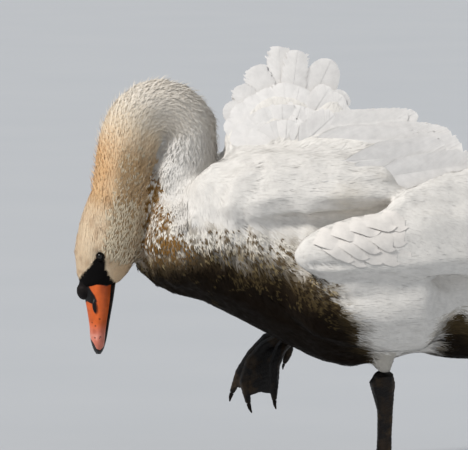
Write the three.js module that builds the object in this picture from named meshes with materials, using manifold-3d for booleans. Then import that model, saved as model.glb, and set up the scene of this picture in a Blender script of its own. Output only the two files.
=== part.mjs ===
// A life-size mute swan (Cygnus olor) stepping forward on its left leg. The neck is arched in a tight S with
// the bill pointing down, the scapular feathers are raised in a fan over each shoulder, and the right foot
// is lifted and hangs relaxed.
//
// Units are millimetres. +X is towards the bird's front, +Y towards its left side, +Z up. The origin is on
// the ground, under the left tarsus, in the flat sole of the standing foot.

import * as THREE from "three";
import { mergeVertices } from "three/addons/utils/BufferGeometryUtils.js";
import Module from "manifold-3d";

const wasm = await Module();
wasm.setup();

// ---- driving dimensions -------------------------------------------------------------------------------

const GAP = 0.3; // clear space between neighbouring pieces
const LEFT = 1;
const RIGHT = -1;
const BODY_SIDES = 16;
const NECK_SIDES = 12;
const LIMB_SIDES = 8;

const BREAST_X = 290; // foremost point of the breast
const TAIL_ROOT_X = -270; // where the tail feathers leave the body
const TAIL_TIP_X = -478;

const EYE_RADIUS = 5.5;
const SOLE_FLAT = 1.2; // depth of the flat that each toe stands on
const WEB_THICKNESS = 2.4;
const VANE_THICKNESS = 2.6;

// ---- materials ----------------------------------------------------------------------------------------

const paint = (color, roughness) => new THREE.MeshStandardMaterial({ color, roughness, metalness: 0 });
const PLUMAGE = paint("#e6e2dc", 0.85);
const CREAM = paint("#e4c79d", 0.85);
const STAINED = paint("#b79a78", 0.9);
const ORANGE = paint("#d2602c", 0.45);
const BLACK_HORN = paint("#171516", 0.5);
const EYE_BROWN = paint("#1b120c", 0.1);
const LEG_SKIN = paint("#1e1a17", 0.6);

const swan = new THREE.Group();

// ---- from geometry to solids and back -----------------------------------------------------------------

// A closed geometry as a solid, turned so that its faces point out.
function solidOf(geometry) {
  const bare = geometry.index ? geometry.toNonIndexed() : geometry.clone();
  bare.deleteAttribute("normal");
  bare.deleteAttribute("uv");
  const merged = mergeVertices(bare, 1e-4);
  const triVerts = new Uint32Array(merged.index.array);
  const vertProperties = new Float32Array(merged.attributes.position.array);
  const made = new wasm.Manifold(new wasm.Mesh({ numProp: 3, vertProperties, triVerts }));
  if (made.volume() > 0) return made;
  for (let i = 0; i < triVerts.length; i += 3) triVerts.subarray(i, i + 3).reverse();
  return new wasm.Manifold(new wasm.Mesh({ numProp: 3, vertProperties, triVerts }));
}

function geometryOf(solid) {
  const mesh = solid.getMesh();
  const positions = new Float32Array(mesh.numVert * 3);
  for (let i = 0; i < mesh.numVert; i++) {
    const start = i * mesh.numProp;
    positions.set(mesh.vertProperties.subarray(start, start + 3), i * 3);
  }
  return new THREE.BufferGeometry()
    .setAttribute("position", new THREE.BufferAttribute(positions, 3))
    .setIndex(new THREE.BufferAttribute(new Uint32Array(mesh.triVerts), 1));
}

const joined = (solids) => solids.reduce((all, one) => all.add(one));
const without = (solid, ...cutters) => cutters.reduce((rest, cutter) => rest.subtract(cutter), solid);

// The biggest body that a cut leaves, so that no sliver stays with it.
const mainBody = (solid) => solid.decompose().sort((a, b) => b.volume() - a.volume())[0];

function addNode(name, solid, material) {
  const mesh = new THREE.Mesh(geometryOf(mainBody(solid)), material);
  mesh.name = name;
  swan.add(mesh);
}

// ---- shape builders -----------------------------------------------------------------------------------

// Smooth interpolation through rows of numbers, at s from 0 to 1, spaced by the distance between their
// first three columns.
function through(rows) {
  const at = [0];
  for (let i = 1; i < rows.length; i++) {
    const step = Math.hypot(...[0, 1, 2].map((k) => rows[i][k] - rows[i - 1][k]));
    at.push(at[i - 1] + step);
  }
  const total = at[at.length - 1];
  const slope = (i, k) => {
    const a = Math.max(0, i - 1);
    const b = Math.min(rows.length - 1, i + 1);
    return (rows[b][k] - rows[a][k]) / (at[b] - at[a]);
  };
  return (s) => {
    const d = Math.min(Math.max(s, 0), 1) * total;
    let i = 0;
    while (i < rows.length - 2 && at[i + 1] < d) i++;
    const span = at[i + 1] - at[i];
    const t = (d - at[i]) / span;
    const rise = 3 * t ** 2 - 2 * t ** 3;
    const leave = span * (t ** 3 - 2 * t ** 2 + t);
    const arrive = span * (t ** 3 - t ** 2);
    const blend = (k) => rows[i][k] * (1 - rise) + rows[i + 1][k] * rise;
    return rows[i].map((_, k) => blend(k) + leave * slope(i, k) + arrive * slope(i + 1, k));
  };
}

// A closed skin over rings of points, each with the same number of points, with a flat or pointed cap at
// each end.
function skinOver(rings) {
  const sides = rings[0].length;
  const centre = (ring) => ring.reduce((sum, p) => sum.add(p), new THREE.Vector3()).divideScalar(sides);
  const points = [...rings.flat(), centre(rings[0]), centre(rings[rings.length - 1])];
  const faces = [];
  for (let r = 0; r + 1 < rings.length; r++) {
    for (let k = 0; k < sides; k++) {
      const a = r * sides + k;
      const b = r * sides + ((k + 1) % sides);
      faces.push(a, b, a + sides, b, b + sides, a + sides);
    }
  }
  const last = (rings.length - 1) * sides;
  for (let k = 0; k < sides; k++) {
    const next = (k + 1) % sides;
    faces.push(next, k, last + sides, last + k, last + next, last + sides + 1);
  }
  const geometry = new THREE.BufferGeometry().setFromPoints(points);
  geometry.setIndex(faces);
  return solidOf(geometry);
}

// A body swept along rows of [x, y, z, depth, breadth, roll], between the shares from and to of its length.
// depth is the half size in the plane of the bend, breadth the half size across it. power above 2 squares
// the section, grow swells it all round, and ridge narrows its front, as along a bill's culmen. heading
// fixes the direction that every section faces, and ease above 1 crowds the sections towards the start.
function sweep(rows, options) {
  const { steps, sides = LIMB_SIDES, power = 2, grow = 0, ridge = 0, from = 0, to = 1, ease = 1 } = options;
  const row = through(rows);
  const rings = [];
  for (let i = 0; i <= steps; i++) {
    const s = from + (to - from) * (i / steps) ** ease;
    const [x, y, z, depth, breadth, roll = 0] = row(s);
    const before = row(Math.max(0, s - 0.004));
    const after = row(Math.min(1, s + 0.004));
    const travel = options.heading ?? [0, 1, 2].map((k) => after[k] - before[k]);
    const along = new THREE.Vector3(...travel).normalize();
    const across = new THREE.Vector3(0, 1, 0).addScaledVector(along, -along.y).normalize();
    across.applyAxisAngle(along, roll);
    const out = new THREE.Vector3().crossVectors(across, along);
    const ring = [];
    for (let k = 0; k < sides; k++) {
      const angle = (2 * Math.PI * k) / sides;
      const c = Math.sign(Math.cos(angle)) * Math.abs(Math.cos(angle)) ** (2 / power);
      const q = Math.sign(Math.sin(angle)) * Math.abs(Math.sin(angle)) ** (2 / power);
      const narrowed = 1 - ridge * Math.max(0, -c);
      ring.push(
        new THREE.Vector3(x, y, z)
          .addScaledVector(out, c * (depth + grow))
          .addScaledVector(across, q * (breadth * narrowed + grow)),
      );
    }
    rings.push(ring);
  }
  return skinOver(rings);
}

// Share of a large feather's length at each ring, and share of its full width there.
const VANE_OUTLINE = [
  [0, 0.6],
  [0.7, 1],
  [0.92, 0.82],
  [1, 0.38],
];

// One large feather as a thin bowed blade with a rounded end, from root to tip. face is the way its
// upper side looks, and bow how far the middle lifts towards face.
function vane({ root, tip, width, face, bow = 0, cup = 0.12 }) {
  const from = new THREE.Vector3(...root);
  const line = new THREE.Vector3(...tip).sub(from);
  const along = line.clone().normalize();
  const looks = new THREE.Vector3(...face);
  const up = looks.addScaledVector(along, -along.dot(looks)).normalize();
  const across = new THREE.Vector3().crossVectors(up, along);
  const rings = VANE_OUTLINE.map(([u, share]) => {
    const half = (width / 2) * share;
    const thick = (VANE_THICKNESS / 2) * Math.min(1, share * 1.3);
    const edge = -cup * half;
    const centre = from.clone().addScaledVector(line, u).addScaledVector(up, bow * Math.sin(Math.PI * u));
    return [
      centre.clone().addScaledVector(across, half).addScaledVector(up, edge),
      centre.clone().addScaledVector(up, thick),
      centre.clone().addScaledVector(across, -half).addScaledVector(up, edge),
      centre.clone().addScaledVector(up, -thick + edge / 2),
    ];
  });
  return skinOver(rings);
}

function ball(x, y, z, radius, stretch = [1, 1, 1]) {
  const geometry = new THREE.SphereGeometry(radius, 9, 6).scale(...stretch).translate(x, y, z);
  return solidOf(geometry);
}

// ---- neck and head ------------------------------------------------------------------------------------

// One centre line from inside the breast, back and up, over the arch and down to the bill's root. Columns:
// x, y, z, depth (half size fore and aft) and breadth (half size side to side).
const HEAD_Y = 30; // the head hangs a little to the left of the breast
const NECK_LINE = [
  [166, 0, 276, 76, 84],
  [203, 0, 305, 69, 68],
  [232, 0, 342, 45, 47],
  [226, 0, 382, 35.5, 37],
  [225, 0, 408, 33, 34],
  [252, 4, 430, 33, 34],
  [276, 10, 424, 33, 33],
  [291, 16, 404, 33.5, 32],
  [298, 22, 378, 32.5, 31],
  [303.5, 27, 351, 30.5, 29],
  [307, HEAD_Y, 329, 30.5, 27],
  [311, HEAD_Y, 313, 32, 26],
  [314.5, HEAD_Y, 298, 34.5, 26.5],
  [317.5, HEAD_Y, 280, 36, 28],
  [321, HEAD_Y, 262, 36.5, 27.5],
  [324, HEAD_Y, 247, 33, 24.5],
  [326.5, HEAD_Y, 236, 28.5, 20.5],
  [328.5, HEAD_Y, 222, 21, 15.5],
];
// Lengths of that line, as shares of it. A length starts a little after the last one ends.
const NECK_LENGTHS = [
  { name: "neck_lower", from: 0, to: 0.3, steps: 8, material: PLUMAGE },
  { name: "neck_arch", from: 0.3014, to: 0.6, steps: 9, material: PLUMAGE },
  { name: "neck_upper", from: 0.6012, to: 0.757, steps: 4, material: CREAM },
  { name: "head", from: 0.7578, to: 1, steps: 9, material: CREAM },
];

// ---- trunk --------------------------------------------------------------------------------------------

// Upright sections. Columns: x, y, height of the middle, half height, half width.
const TRUNK_LINE = [
  [BREAST_X, 0, 256, 12, 8],
  [BREAST_X - 3, 0, 260, 27, 16],
  [BREAST_X - 8, 0, 265, 38, 31],
  [272, 0, 270, 46, 56],
  [256, 0, 275, 56, 80],
  [232, 0, 278, 65, 96],
  [200, 0, 276, 74, 108],
  [165, 0, 271, 86, 117],
  [120, 0, 262, 102, 125],
  [60, 0, 251, 120, 132],
  [22, 0, 252, 121.5, 132],
  [-38, 0, 259.5, 113.5, 132],
  [-100, 0, 250.5, 115, 126],
  [-165, 0, 257, 93, 110],
  [-215, 0, 265, 68, 86],
  [-255, 0, 274, 42, 60],
  [TAIL_ROOT_X - 17, 0, 281, 20, 38],
  [TAIL_ROOT_X - 27, 0, 283, 9, 22],
];
const trunkShape = (grow = 0) =>
  sweep(TRUNK_LINE, { steps: 16, sides: BODY_SIDES, power: 2.15, heading: [-1, 0, 0], grow });

// Side feathers that bulge over the lower edge of the folded wing.
const flankShape = (side, grow = 0) =>
  sweep(
    [
      [114, side * 100, 222, 22, 14, side * 0.4],
      [88, side * 112, 218, 44, 30, side * 0.4],
      [20, side * 120, 212, 58, 38, side * 0.4],
      [-44, side * 117, 208, 57, 36, side * 0.4],
      [-72, side * 110, 212, 38, 26, side * 0.4],
      [-82, side * 106, 214, 16, 12, side * 0.4],
    ],
    { steps: 5, sides: 8, grow },
  );

// ---- wings --------------------------------------------------------------------------------------------

// The folded wing from wrist to rear. Its upper edge is the leading edge of the forearm. The last column
// tilts the blade's top towards the middle of the back.
const wingShape = (side, grow = 0) =>
  sweep(
    [
      [104, side * 143, 267, 9, 8, 0],
      [97, side * 147, 268, 19, 15, side * -0.05],
      [78, side * 150, 272, 30, 20, side * -0.08],
      [40, side * 152, 278.5, 38, 22, side * -0.12],
      [0, side * 151, 281, 42, 22, side * -0.18],
      [-40, side * 145, 296, 57, 21, side * -0.26],
      [-76, side * 134, 306, 67, 20, side * -0.32],
      [-145, side * 112, 309, 66, 17, side * -0.42],
      [-205, side * 84, 309, 57, 13, side * -0.58],
      [-262, side * 56, 309, 45, 9, side * -0.67],
      [-318, side * 36, 316, 29, 6, side * -0.75],
      [-352, side * 30, 319, 12, 4, side * -0.75],
    ],
    { steps: 11, sides: 8, ease: 1.5, grow },
  );

// Flight feathers along the rear of the wing: the secondaries close it above, and the primaries run on past
// the rump.
const FLIGHT_FEATHERS = {
  secondaries: [{ root: [-196, 72, 346], tip: [-332, 36, 340], width: 60 }],
  primaries: [
    { root: [-262, 60, 302], tip: [-366, 36, 314], width: 40 },
    { root: [-262, 54, 308], tip: [-386, 28, 322], width: 37 },
    { root: [-262, 50, 314], tip: [-402, 20, 330], width: 32 },
  ],
};
const flightShape = (group, side) =>
  joined(
    FLIGHT_FEATHERS[group].map(({ root, tip, width }) =>
      vane({
        root: [root[0], side * root[1], root[2]],
        tip: [tip[0], side * tip[1], tip[2]],
        width,
        face: [0, side * 0.62, 0.78],
        bow: 4,
      }),
    ),
  );

// ---- shoulders ----------------------------------------------------------------------------------------

// The cape of scapular feathers that lies over the top of the wing.
const capeShape = (side, grow = 0) =>
  sweep(
    [
      [226, side * 56, 322, 20, 10, side * -0.5],
      [208, side * 64, 334, 38, 20, side * -0.55],
      [176, side * 82, 342, 48, 26, side * -0.62],
      [120, side * 98, 348, 49, 28, side * -0.68],
      [60, side * 106, 348, 42, 26, side * -0.66],
      [10, side * 109, 344, 32, 23, side * -0.6],
      [-22, side * 109, 339, 18, 15, side * -0.5],
      [-40, side * 108, 336, 6, 6, side * -0.5],
    ],
    { steps: 7, sides: 8, grow },
  );

// The fan: feathers of the upper back raised on edge, standing out of a soft base. Columns: tip x, tip z,
// width, distance out from the middle.
const FAN_CENTRE = { x: 116, z: 386 };
const FAN_BASE_RADIUS = 58;
const FAN_FEATHERS = [
  [178, 418, 30, 42],
  [181, 434, 27, 40],
  [168, 454, 28, 38],
  [148, 478, 30, 36],
  [119, 500, 29, 33],
  [101, 496, 28, 39],
  [61, 485, 41, 36],
  [45, 446, 33, 43],
  [106, 450, 70, 54],
];
const fanShape = (side) =>
  joined([
    ball(0, 0, 0, FAN_BASE_RADIUS, [1, 0.27, 0.74]).translate([FAN_CENTRE.x - 2, side * 48, FAN_CENTRE.z + 6]),
    ...FAN_FEATHERS.map(([tipX, tipZ, width, out]) => {
      const away = 0.42; // share of the way from the fan's centre where the blade starts
      const rootX = FAN_CENTRE.x + (tipX - FAN_CENTRE.x) * away;
      const rootZ = FAN_CENTRE.z + (tipZ - FAN_CENTRE.z) * away - 6;
      return vane({
        root: [rootX, side * (out + 7), rootZ],
        tip: [tipX, side * out, tipZ],
        width,
        face: [(tipX - FAN_CENTRE.x) * 0.002, side, 0.12],
        bow: 3,
      });
    }),
  ]);

// How far the raised feathers of each shoulder have settled.
const RAISED_DROP = { left: 0, right: 6.5 };

// Long inner feathers that run back over the wing, stacked in steps. Columns: tip x, tip z, root z, width,
// distance out from the middle.
const LONG_FEATHERS = [
  [-38, 403, 402, 38, 54],
  [-58, 391, 393, 38, 66],
  [-80, 380, 384, 38, 76],
  [-94, 364, 368, 40, 88],
];
const longFeatherShape = (side) =>
  joined([
    sweep(
      [
        [118, side * 62, 378, 20, 16],
        [70, side * 64, 386, 28, 24],
        [10, side * 66, 382, 30, 26],
        [-50, side * 70, 366, 26, 22],
        [-92, side * 72, 354, 10, 12],
      ],
      { steps: 4, sides: 8 },
    ),
    ...LONG_FEATHERS.map(([tipX, tipZ, rootZ, width, out]) =>
      vane({
        root: [tipX + 112, side * (out - 2), rootZ],
        tip: [tipX, side * out, tipZ],
        width,
        face: [0, side * 0.88, 0.45],
        bow: 6,
      }),
    ),
  ]);

// ---- tail ---------------------------------------------------------------------------------------------

const TAIL_PAIRS = 3;

function tailShape() {
  const root = sweep(
    [
      [TAIL_ROOT_X - 5, 0, 280, 21, 40],
      [TAIL_ROOT_X - 60, 0, 284, 12, 47],
      [TAIL_ROOT_X - 112, 0, 283, 4, 36],
    ],
    { steps: 2, sides: 8 },
  );
  const feathers = [];
  for (let i = -TAIL_PAIRS; i <= TAIL_PAIRS; i++) {
    const spread = Math.abs(i) / TAIL_PAIRS;
    feathers.push(
      vane({
        root: [TAIL_ROOT_X - 45, i * 10, 284 - 6 * spread],
        tip: [TAIL_TIP_X + 62 * spread ** 1.4, i * 25, 277 - 10 * spread],
        width: 44,
        face: [0, 0.12 * i, 1],
        bow: 3,
      }),
    );
  }
  return joined([root, ...feathers]);
}

// ---- bill, knob and eyes ------------------------------------------------------------------------------

// The bill hangs straight down from its root. Columns: x, y, z, depth, breadth.
const BILL_TOP_Z = 226;
const MAXILLA_LINE = [
  [329, HEAD_Y, BILL_TOP_Z, 17.6, 16],
  [328.3, HEAD_Y, 212, 15.4, 16.2],
  [328, HEAD_Y, 198, 13.1, 15.5],
  [328.2, HEAD_Y, 180, 10.2, 15.6],
  [328.6, HEAD_Y, 164, 8.5, 15.8],
  [328, HEAD_Y, 152, 5.6, 12],
  [328, HEAD_Y, 147.5, 3, 6],
];
const MANDIBLE_LINE = [
  [312.4, HEAD_Y, BILL_TOP_Z, 4.4, 13],
  [314.6, HEAD_Y, 209, 4, 12.6],
  [318.3, HEAD_Y, 186, 3.6, 11.5],
  [321.5, HEAD_Y, 164, 3, 10],
  [323.2, HEAD_Y, 153, 1.6, 5],
];
const NAIL_FROM = 0.86; // share of the bill's length where the nail begins
const billLength = (from, to, steps, grow) =>
  sweep(MAXILLA_LINE, { from, to, steps, sides: 10, power: 2.2, ridge: 0.35, heading: [0, 0, -1], grow });
const maxillaShape = (grow = 0) => billLength(0, NAIL_FROM - 0.004, 6, grow);
const nailShape = (grow = 0) => billLength(NAIL_FROM, 1, 2, grow);
const mandibleShape = sweep(MANDIBLE_LINE, { steps: 4, sides: 8, heading: [0, 0, -1] });
const knobShape = (grow = 0) => ball(0, 0, 0, 10 + grow, [1, 0.9, 1.08]).translate([343.5, HEAD_Y, 220]);
const EYE = { x: 325, out: 23, z: 261 };
const eyeShape = (side, grow = 0) => ball(EYE.x, HEAD_Y + side * EYE.out, EYE.z, EYE_RADIUS + grow);

// ---- legs and feet ------------------------------------------------------------------------------------

// Rows: x, y, z, depth, breadth.
const LEGS = {
  left: {
    thigh: [
      [24, 66, 214, 52, 40],
      [16, 60, 180, 38, 30],
      [6, 52, 156, 24, 20],
      [0, 45, 136, 13.5, 12.5],
      [-1, 41, 125, 9, 9],
    ],
    tarsus: [
      [-1, 42, 130, 8.5, 8],
      [2.5, 38, 115, 15, 10.5],
      [2, 35, 107, 15.5, 11],
      [0, 31, 95, 11, 7.8],
      [-1, 24, 78, 9.2, 6.6],
      [-0.5, 12, 45, 8.6, 6.4],
      [0, 3, 20, 9.5, 8],
      [0, 0, 7, 9, 9],
    ],
  },
  right: {
    thigh: [
      [40, -92, 214, 52, 42],
      [24, -98, 190, 37, 30],
      [8, -101, 172, 21, 17],
      [0, -102, 166, 11, 10],
    ],
    tarsus: [
      [-6, -102, 170, 9, 8],
      [5, -101, 163, 14.5, 11],
      [20, -99, 160, 11, 8],
      [60, -91, 161, 8.8, 6.6],
      [96, -82, 160, 9.5, 7.5],
      [114, -78, 157, 8, 8],
    ],
  },
};
const FOOT_SHARE = 0.9; // share of the tarsus's length where the foot begins

// Each toe is a chain of joints from its root to just short of the claw: x, y, z and radius. The standing
// foot's toes press a little into the ground, and its sole is cut flat there.
const standing = (joints) => joints.map(([x, y, radius]) => [x, y, radius - SOLE_FLAT, radius]);
const TOES = {
  left: {
    inner: standing([
      [8, -4, 8],
      [34, -16, 7],
      [62, -30, 6.5],
      [82, -39, 5.4],
    ]),
    middle: standing([
      [-8, 0, 9],
      [42, 1, 7.5],
      [84, 3, 7],
      [118, 5, 5.6],
    ]),
    outer: standing([
      [8, 4, 8],
      [38, 18, 7],
      [76, 36, 6.5],
      [102, 47, 5.4],
    ]),
    hind: [
      [0, 0, 11, 6],
      [-14, 0, 4.4, 5.2],
      [-26, 0, 3.4, 4.2],
    ],
  },
  right: {
    inner: [
      [108, -72, 156, 8],
      [119, -62, 143, 7.2],
      [126, -58, 124, 6.8],
      [126.5, -57, 100, 6],
      [126, -57, 90, 5.4],
    ],
    middle: [
      [114, -78, 155, 8.4],
      [137, -79, 145, 7.4],
      [155, -79, 123, 7],
      [160.5, -77, 100, 6.4],
      [157, -75, 84.5, 5.8],
    ],
    outer: [
      [112, -84, 158, 8],
      [132, -94, 154, 7.2],
      [151, -100, 134, 6.8],
      [167, -102, 109, 6.2],
      [173, -100, 94, 5.6],
    ],
    hind: [
      [107, -79, 151, 5.4],
      [109, -81, 138, 4.6],
      [113, -82, 128, 3.8],
    ],
  },
};
const WEB_REACH = 0.97; // how far along the toes the web's corners come
const WEB_NOTCH = 0.09; // how deep its free edge curves in

const toeRows = (joints) => joints.map(([x, y, z, r]) => [x, y, z, r, r]);

// A toe, with the length that its end runs on past the last joint.
function toeSolid(joints) {
  const [a, b] = joints.slice(-2);
  const ahead = new THREE.Vector3(b[0] - a[0], b[1] - a[1], b[2] - a[2]).setLength(b[3]);
  const end = [b[0] + ahead.x, b[1] + ahead.y, b[2] + ahead.z, b[3] * 0.55, b[3] * 0.55];
  return sweep([...toeRows(joints), end], { steps: 4, sides: 6 });
}

// The web between two toes: a thin sheet from one toe's centre line to the other's.
function webSolid(toeA, toeB) {
  const alongA = through(toeA);
  const alongB = through(toeB);
  const steps = 3;
  const cells = 2;
  const pointOn = (along, t) => new THREE.Vector3(...along(t).slice(0, 3));
  const rings = [];
  for (let i = 0; i <= steps; i++) {
    const upper = [];
    const lower = [];
    for (let j = 0; j <= cells; j++) {
      const u = j / cells;
      const t = 0.06 + (i / steps) * (WEB_REACH - 0.06) * (1 - WEB_NOTCH * 4 * u * (1 - u));
      const a = pointOn(alongA, t);
      const b = pointOn(alongB, t);
      const forward = pointOn(alongA, t + 0.04).sub(a).add(pointOn(alongB, t + 0.04).sub(b));
      const normal = new THREE.Vector3().crossVectors(forward, b.clone().sub(a)).normalize();
      const middle = a.lerp(b, u);
      upper.push(middle.clone().addScaledVector(normal, WEB_THICKNESS / 2));
      lower.unshift(middle.clone().addScaledVector(normal, -WEB_THICKNESS / 2));
    }
    rings.push([...upper, ...lower]);
  }
  return skinOver(rings);
}

const tarsusShape = (word, range) => sweep(LEGS[word].tarsus, { sides: LIMB_SIDES, ...range });

const footShape = (word) => {
  const toes = TOES[word];
  return joined([
    ...Object.values(toes).map((joints) => toeSolid(joints)),
    webSolid(toes.inner, toes.middle),
    webSolid(toes.middle, toes.outer),
    tarsusShape(word, { from: FOOT_SHARE, to: 1, steps: 2 }),
  ]).trimByPlane([0, 0, 1], 0);
};

// A claw that goes on from the end of a toe and curves down.
function clawSolid(joints) {
  const [a, b] = joints.slice(-2).map((j) => new THREE.Vector3(...j));
  const radius = joints[joints.length - 1][3];
  const ahead = b.clone().sub(a).normalize();
  const bend = Math.abs(ahead.z) > 0.8 ? new THREE.Vector3(-1, 0, 0) : new THREE.Vector3(0, 0, -1);
  const station = (distance, drop, thickness) => {
    const p = b.clone().addScaledVector(ahead, distance * radius + GAP).addScaledVector(bend, drop);
    return [p.x, p.y, p.z, thickness * radius, thickness * radius];
  };
  return sweep([station(1, 0, 0.5), station(1.6, 0, 0.44), station(2.3, 0.5, 0.3), station(2.9, 1.5, 0.13)], {
    steps: 2,
    sides: 5,
    heading: ahead.toArray(),
  });
}

// ---- the pieces, cut apart with a gap between neighbours ----------------------------------------------

const SIDES = { left: LEFT, right: RIGHT };
const both = (shape, grow) => Object.values(SIDES).map((side) => shape(side, grow));

const trunkWhole = joined([trunkShape(), ...both(flankShape)]);
const trunkCutter = joined([trunkShape(GAP), ...both(flankShape, GAP)]);
addNode("trunk", trunkWhole, PLUMAGE);

const knobCutter = knobShape(GAP);
for (const { name, from, to, steps, material } of NECK_LENGTHS) {
  let length = sweep(NECK_LINE, { from, to, steps, sides: NECK_SIDES });
  if (name === "neck_lower") length = without(length, trunkCutter);
  if (name === "head") {
    length = without(length, knobCutter, ...both(eyeShape, GAP)).trimByPlane([0, 0, 1], BILL_TOP_Z + GAP);
  }
  addNode(name, length, material);
}
addNode("knob", knobShape(), BLACK_HORN);
addNode("bill_upper", without(maxillaShape(), knobCutter), ORANGE);
addNode("bill_nail", nailShape(), BLACK_HORN);
addNode("bill_lower", without(mandibleShape, maxillaShape(GAP), nailShape(GAP)), BLACK_HORN);
addNode("tail", without(tailShape(), trunkCutter), PLUMAGE);

const neckRootCutter = sweep(NECK_LINE, { from: 0, to: 0.3, steps: 8, sides: NECK_SIDES, grow: GAP });
for (const [word, side] of Object.entries(SIDES)) {
  const cape = without(capeShape(side), trunkCutter, neckRootCutter);
  const capeCutter = capeShape(side, GAP);
  const wing = without(wingShape(side), trunkCutter, capeCutter);
  const wingCutter = wingShape(side, GAP);
  addNode(`eye_${word}`, eyeShape(side), EYE_BROWN);
  addNode(`scapulars_${word}`, cape, PLUMAGE);
  addNode(`wing_${word}`, wing, PLUMAGE);
  const secondaries = flightShape("secondaries", side);
  addNode(`secondaries_${word}`, without(secondaries, trunkCutter, wingCutter), PLUMAGE);
  addNode(`primaries_${word}`, without(flightShape("primaries", side), trunkCutter, wingCutter), PLUMAGE);
  const raised = joined([fanShape(side), longFeatherShape(side)]).translate([0, 0, -RAISED_DROP[word]]);
  addNode(`raised_feathers_${word}`, without(raised, trunkCutter, capeCutter, wingCutter), PLUMAGE);

  const thighShape = (grow) => sweep(LEGS[word].thigh, { steps: 5, sides: 10, grow });
  const tarsus = tarsusShape(word, { from: 0, to: FOOT_SHARE - 0.003, steps: 7 });
  const toes = TOES[word];
  addNode(`thigh_${word}`, without(thighShape(0), trunkCutter), STAINED);
  addNode(`tarsus_${word}`, without(tarsus, thighShape(GAP), trunkCutter), LEG_SKIN);
  addNode(`foot_${word}`, footShape(word), LEG_SKIN);
  for (const [toe, joints] of Object.entries(toes)) {
    addNode(`claw_${toe}_${word}`, clawSolid(joints), BLACK_HORN);
  }
}

export default swan;
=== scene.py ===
"""Looks for the life-size mute swan: skin, plumage, bill, eyes, legs, floor, light and camera.

Tables are in millimetres, in the frame of the CAD part. Objects are in metres.
"""

import math

import bmesh
import bpy
import numpy as np
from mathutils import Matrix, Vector
from mathutils.bvhtree import BVHTree


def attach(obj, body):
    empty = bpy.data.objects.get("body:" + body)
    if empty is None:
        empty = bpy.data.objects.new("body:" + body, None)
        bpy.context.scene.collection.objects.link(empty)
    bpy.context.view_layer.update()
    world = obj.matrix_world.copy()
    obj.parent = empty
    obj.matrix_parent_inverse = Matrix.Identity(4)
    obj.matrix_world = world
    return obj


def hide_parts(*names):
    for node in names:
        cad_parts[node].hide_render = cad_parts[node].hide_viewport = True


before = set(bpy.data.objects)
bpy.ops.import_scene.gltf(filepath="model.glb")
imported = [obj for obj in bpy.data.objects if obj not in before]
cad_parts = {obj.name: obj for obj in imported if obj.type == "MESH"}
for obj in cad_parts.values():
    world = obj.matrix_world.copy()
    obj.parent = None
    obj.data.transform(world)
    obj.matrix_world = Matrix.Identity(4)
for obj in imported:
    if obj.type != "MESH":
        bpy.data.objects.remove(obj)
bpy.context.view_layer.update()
MM = 0.001
SIDES = {"left": 1.0, "right": -1.0}

# ---- numbers that the solids have too ----

HEAD_Y = 30.0
# The neck from inside the breast to the bill's root: x, y, z, half depth, half breadth.
NECK_LINE = [
    [166, 0, 276, 76, 84], [203, 0, 305, 69, 68], [232, 0, 342, 45, 47], [226, 0, 382, 35.5, 37],
    [225, 0, 408, 33, 34], [252, 4, 430, 33, 34], [276, 10, 424, 33, 33], [291, 16, 404, 33.5, 32],
    [298, 22, 378, 32.5, 31], [303.5, 27, 351, 30.5, 29], [307, HEAD_Y, 329, 30.5, 27],
    [311, HEAD_Y, 313, 32, 26], [314.5, HEAD_Y, 298, 34.5, 26.5], [317.5, HEAD_Y, 280, 36, 28],
    [321, HEAD_Y, 262, 36.5, 27.5], [324, HEAD_Y, 247, 33, 24.5], [326.5, HEAD_Y, 236, 28.5, 20.5],
    [328.5, HEAD_Y, 222, 21, 15.5],
]
# The bill, straight down from its root: x, z, half depth, half breadth.
MAXILLA = [
    [329.0, 228, 17.8, 16], [328.3, 212, 15.4, 16.2], [328.0, 198, 13.1, 15.5], [328.2, 180, 10.2, 15.6],
    [328.6, 164, 8.5, 15.4], [328.0, 152, 5.6, 11.5], [328.0, 147.3, 2.8, 5.5],
]
MANDIBLE = [
    [312.2, 228, 4.4, 13], [314.6, 209, 4.0, 12.6], [318.3, 186, 3.6, 11.5], [321.5, 164, 3.0, 10],
    [323.2, 153, 1.6, 5],
]
KNOB = (343.2, HEAD_Y, 220.0)
EYE = (325.0, 23.0, 261.0)
EYE_RADIUS = 5.5
# How far the raised feathers of each shoulder have settled.
RAISED_DROP = {"left": 0.0, "right": 6.5}
FAN_CENTRE = (116.0, 386.0)
# Raised feathers of the upper back: tip x, tip z, width, distance out, how ragged the tip is and how blunt.
FAN_TIPS = [
    [180, 420, 28, 42, 0.02, 0.70], [182, 435, 25, 40, 0.02, 0.72], [168, 456, 27, 38, 0.04, 0.76],
    [148, 479, 31, 36, 0.05, 0.78], [121, 501, 29, 33, 0.06, 0.86], [100, 497, 27, 39, 0.06, 0.84],
    [61.5, 486, 39, 36, 0.008, 0.60], [44, 448, 32, 43, 0.02, 0.66],
]
# Where the barbs of the fan's feathers have parted: feather, side of the shaft, share of the length, depth.
FAN_NOTCHES = [
    [2, 1, 0.86, 0.20], [3, -1, 0.90, 0.22], [3, -1, 0.80, 0.14], [4, -1, 0.88, 0.30], [4, 1, 0.93, 0.26],
    [5, 1, 0.90, 0.22], [5, 1, 0.78, 0.12], [7, -1, 0.88, 0.2],
]
# Shorter feathers that lie over the roots of the raised ones: tip x, tip z, width.
FAN_COVERS = [
    [181, 418, 30], [171, 434, 30], [154, 445, 34], [136, 454, 36], [116, 460, 38], [98, 456, 36],
    [84, 445, 32], [63, 455, 30], [48, 445, 30], [40, 430, 30], [173, 408, 34], [157, 422, 36],
    [139, 432, 38], [118, 436, 40], [96, 434, 40], [77, 427, 36], [58, 424, 34], [152, 408, 34],
    [132, 415, 36], [112, 418, 36], [92, 416, 36], [74, 410, 34],
]
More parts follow.
